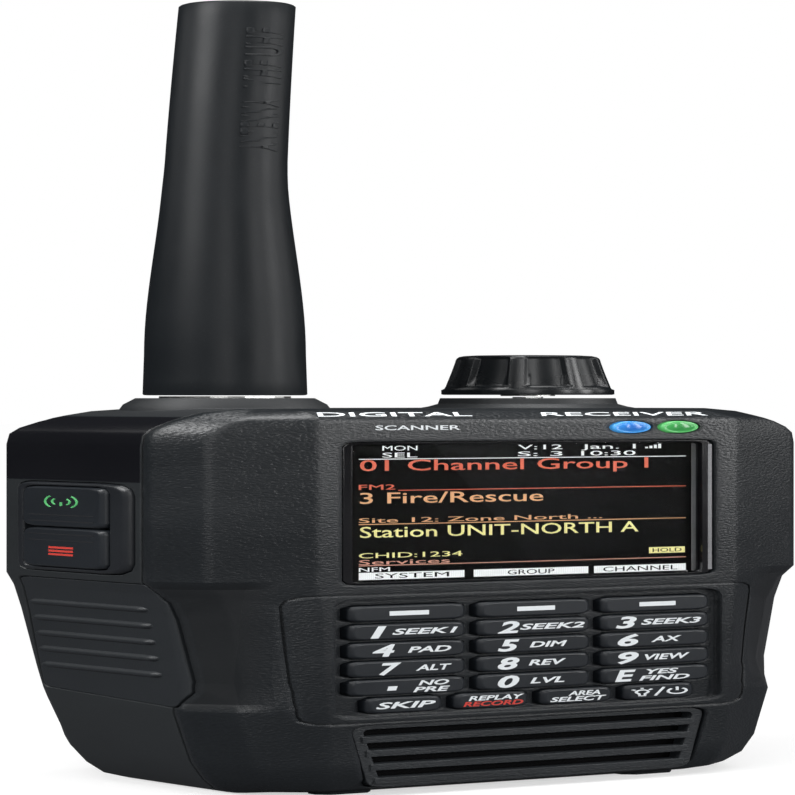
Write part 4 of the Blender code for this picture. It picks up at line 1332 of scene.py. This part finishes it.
@dataclass
class Studio:
    """Pale floor, soft lights, pale world and the camera."""

    lights: tuple[Lamp, ...] = (
        Lamp("front_soft", Vector((-0.50, -0.87, 0.37)), Vector((0, 0, 0.09)), (0.20, 0.70), 2.4),
        Lamp("front_strip", Vector((0.31, -0.95, 0.37)), Vector((0, 0, 0.09)), (0.10, 0.70), 3.0),
        Lamp("left_strip", Vector((-0.72, -0.70, 0.37)), Vector((0, 0, 0.09)), (0.07, 0.70), 0.6),
        Lamp("right_soft", Vector((0.74, -0.67, 0.37)), Vector((0, 0, 0.10)), (0.24, 0.70), 4.6),
        Lamp("right_fill", Vector((0.97, -0.25, 0.40)), Vector((0, 0, 0.12)), (0.25, 0.60), 1.0),
        Lamp("top_soft", Vector((0.0, -0.12, 0.95)), Vector((0, 0, 0.1)), (0.75, 0.6), 9.5),
        Lamp("back_left_card", Vector((-0.62, 0.66, 0.55)), Vector((0, 0, 0.07)), (0.5, 0.30), 0.6),
        Lamp("left_high", Vector((-0.75, 0.0, 0.62)), Vector((0, 0, 0.08)), (0.5, 0.4), 8.0),
    )
    dim: float = 0.02

    def build(self) -> None:
        """Builds the studio and the camera."""
        for lamp in self.lights:
            light = bpy.data.lights.new(lamp.name, "AREA")
            light.shape = "RECTANGLE"
            light.size, light.size_y = lamp.size
            light.energy = lamp.power
            obj = bpy.data.objects.new(lamp.name, light)
            obj.location = lamp.place
            obj.rotation_euler = (lamp.aim - lamp.place).to_track_quat("-Z", "Y").to_euler()
            bpy.context.scene.collection.objects.link(obj)
        self.floor()
        self.world()
        self.camera()

    @staticmethod
    def floor() -> None:
        """A pale floor that goes over into the white surround, and that throws little light back up."""
        deselect()
        bpy.ops.mesh.primitive_plane_add(size=8)
        floor = bpy.context.object
        floor.name = "floor"
        paper = bpy.data.materials.new("floor paper")
        paper.use_nodes = True
        nodes = Nodes(paper.node_tree)
        matt = nodes.add("BsdfDiffuse", {"Color": (0.95, 0.95, 0.95)})
        dull = nodes.add("BsdfDiffuse", {"Color": (0.08, 0.08, 0.085)})
        white = nodes.add("Emission", {"Strength": 1.0})
        place = nodes.place()
        away = nodes.add("VectorMath", {0: place}, operation="LENGTH").outputs["Value"]
        fibre = nodes.times(nodes.noise(place, 900.0), 0.02)
        reach = nodes.math("DIVIDE", nodes.less(away, 0.02), 0.10, clamp=True)
        share = nodes.plus(nodes.times(reach, 0.45), nodes.plus(fibre, 0.53), clamp=True)
        seen = nodes.blend(nodes.camera_ray(), dull, nodes.blend(share, matt, white))
        nodes.add("OutputMaterial", {0: seen.outputs[0]})
        floor.data.materials.append(paper)

    def world(self) -> None:
        """A white surround behind the object, and a dim one for everything that it lights."""
        world = bpy.data.worlds.new("studio")
        bpy.context.scene.world = world
        world.use_nodes = True
        nodes = Nodes(world.node_tree)
        seen = nodes.add("Background", {"Color": (1, 1, 1)})
        lit = nodes.add("Background", {"Color": (0.92, 0.97, 1), "Strength": self.dim})
        nodes.add("OutputWorld", {0: nodes.blend(nodes.camera_ray(), lit, seen).outputs[0]})
        bpy.context.scene.view_settings.view_transform = "Standard"

    @staticmethod
    def camera() -> None:
        """A level cylindrical camera whose two ranges are unequal, for a picture that is squeezed in height."""
        data = bpy.data.cameras.new("camera")
        data.type = "PANO"
        data.panorama_type = "CENTRAL_CYLINDRICAL"
        data.central_cylindrical_range_u_min, data.central_cylindrical_range_u_max = -0.0943, 0.0943
        data.central_cylindrical_range_v_min, data.central_cylindrical_range_v_max = -0.388, 0.388
        data.central_cylindrical_radius = 1.0
        data.clip_start = 0.01
        obj = bpy.data.objects.new("camera", data)
        bpy.context.scene.collection.objects.link(obj)
        turn = math.radians(34.76)
        ahead = Vector((math.sin(turn), math.cos(turn), 0))
        aside = Vector((math.cos(turn), -math.sin(turn), 0))
        obj.location = -ahead * 0.3468 - aside * 0.00095 + Vector((0, 0, 0.1266))
        obj.rotation_euler = ahead.to_track_quat("-Z", "Y").to_euler()
        bpy.context.scene.camera = obj


def main() -> None:
    """Loads the frame, builds the looks round it and keeps the sizes."""
    logging.basicConfig(level=logging.INFO, format="%(name)s: %(message)s")
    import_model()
    shop = Shop()
    for assembly in (Case(shop), Display(shop), Keys(shop), SideKeys(shop), Knob(shop), Antenna(shop), Lamps(shop),
                     Inside(shop)):
        assembly.build()
    Studio().build()


if __name__ == "__main__":
    main()
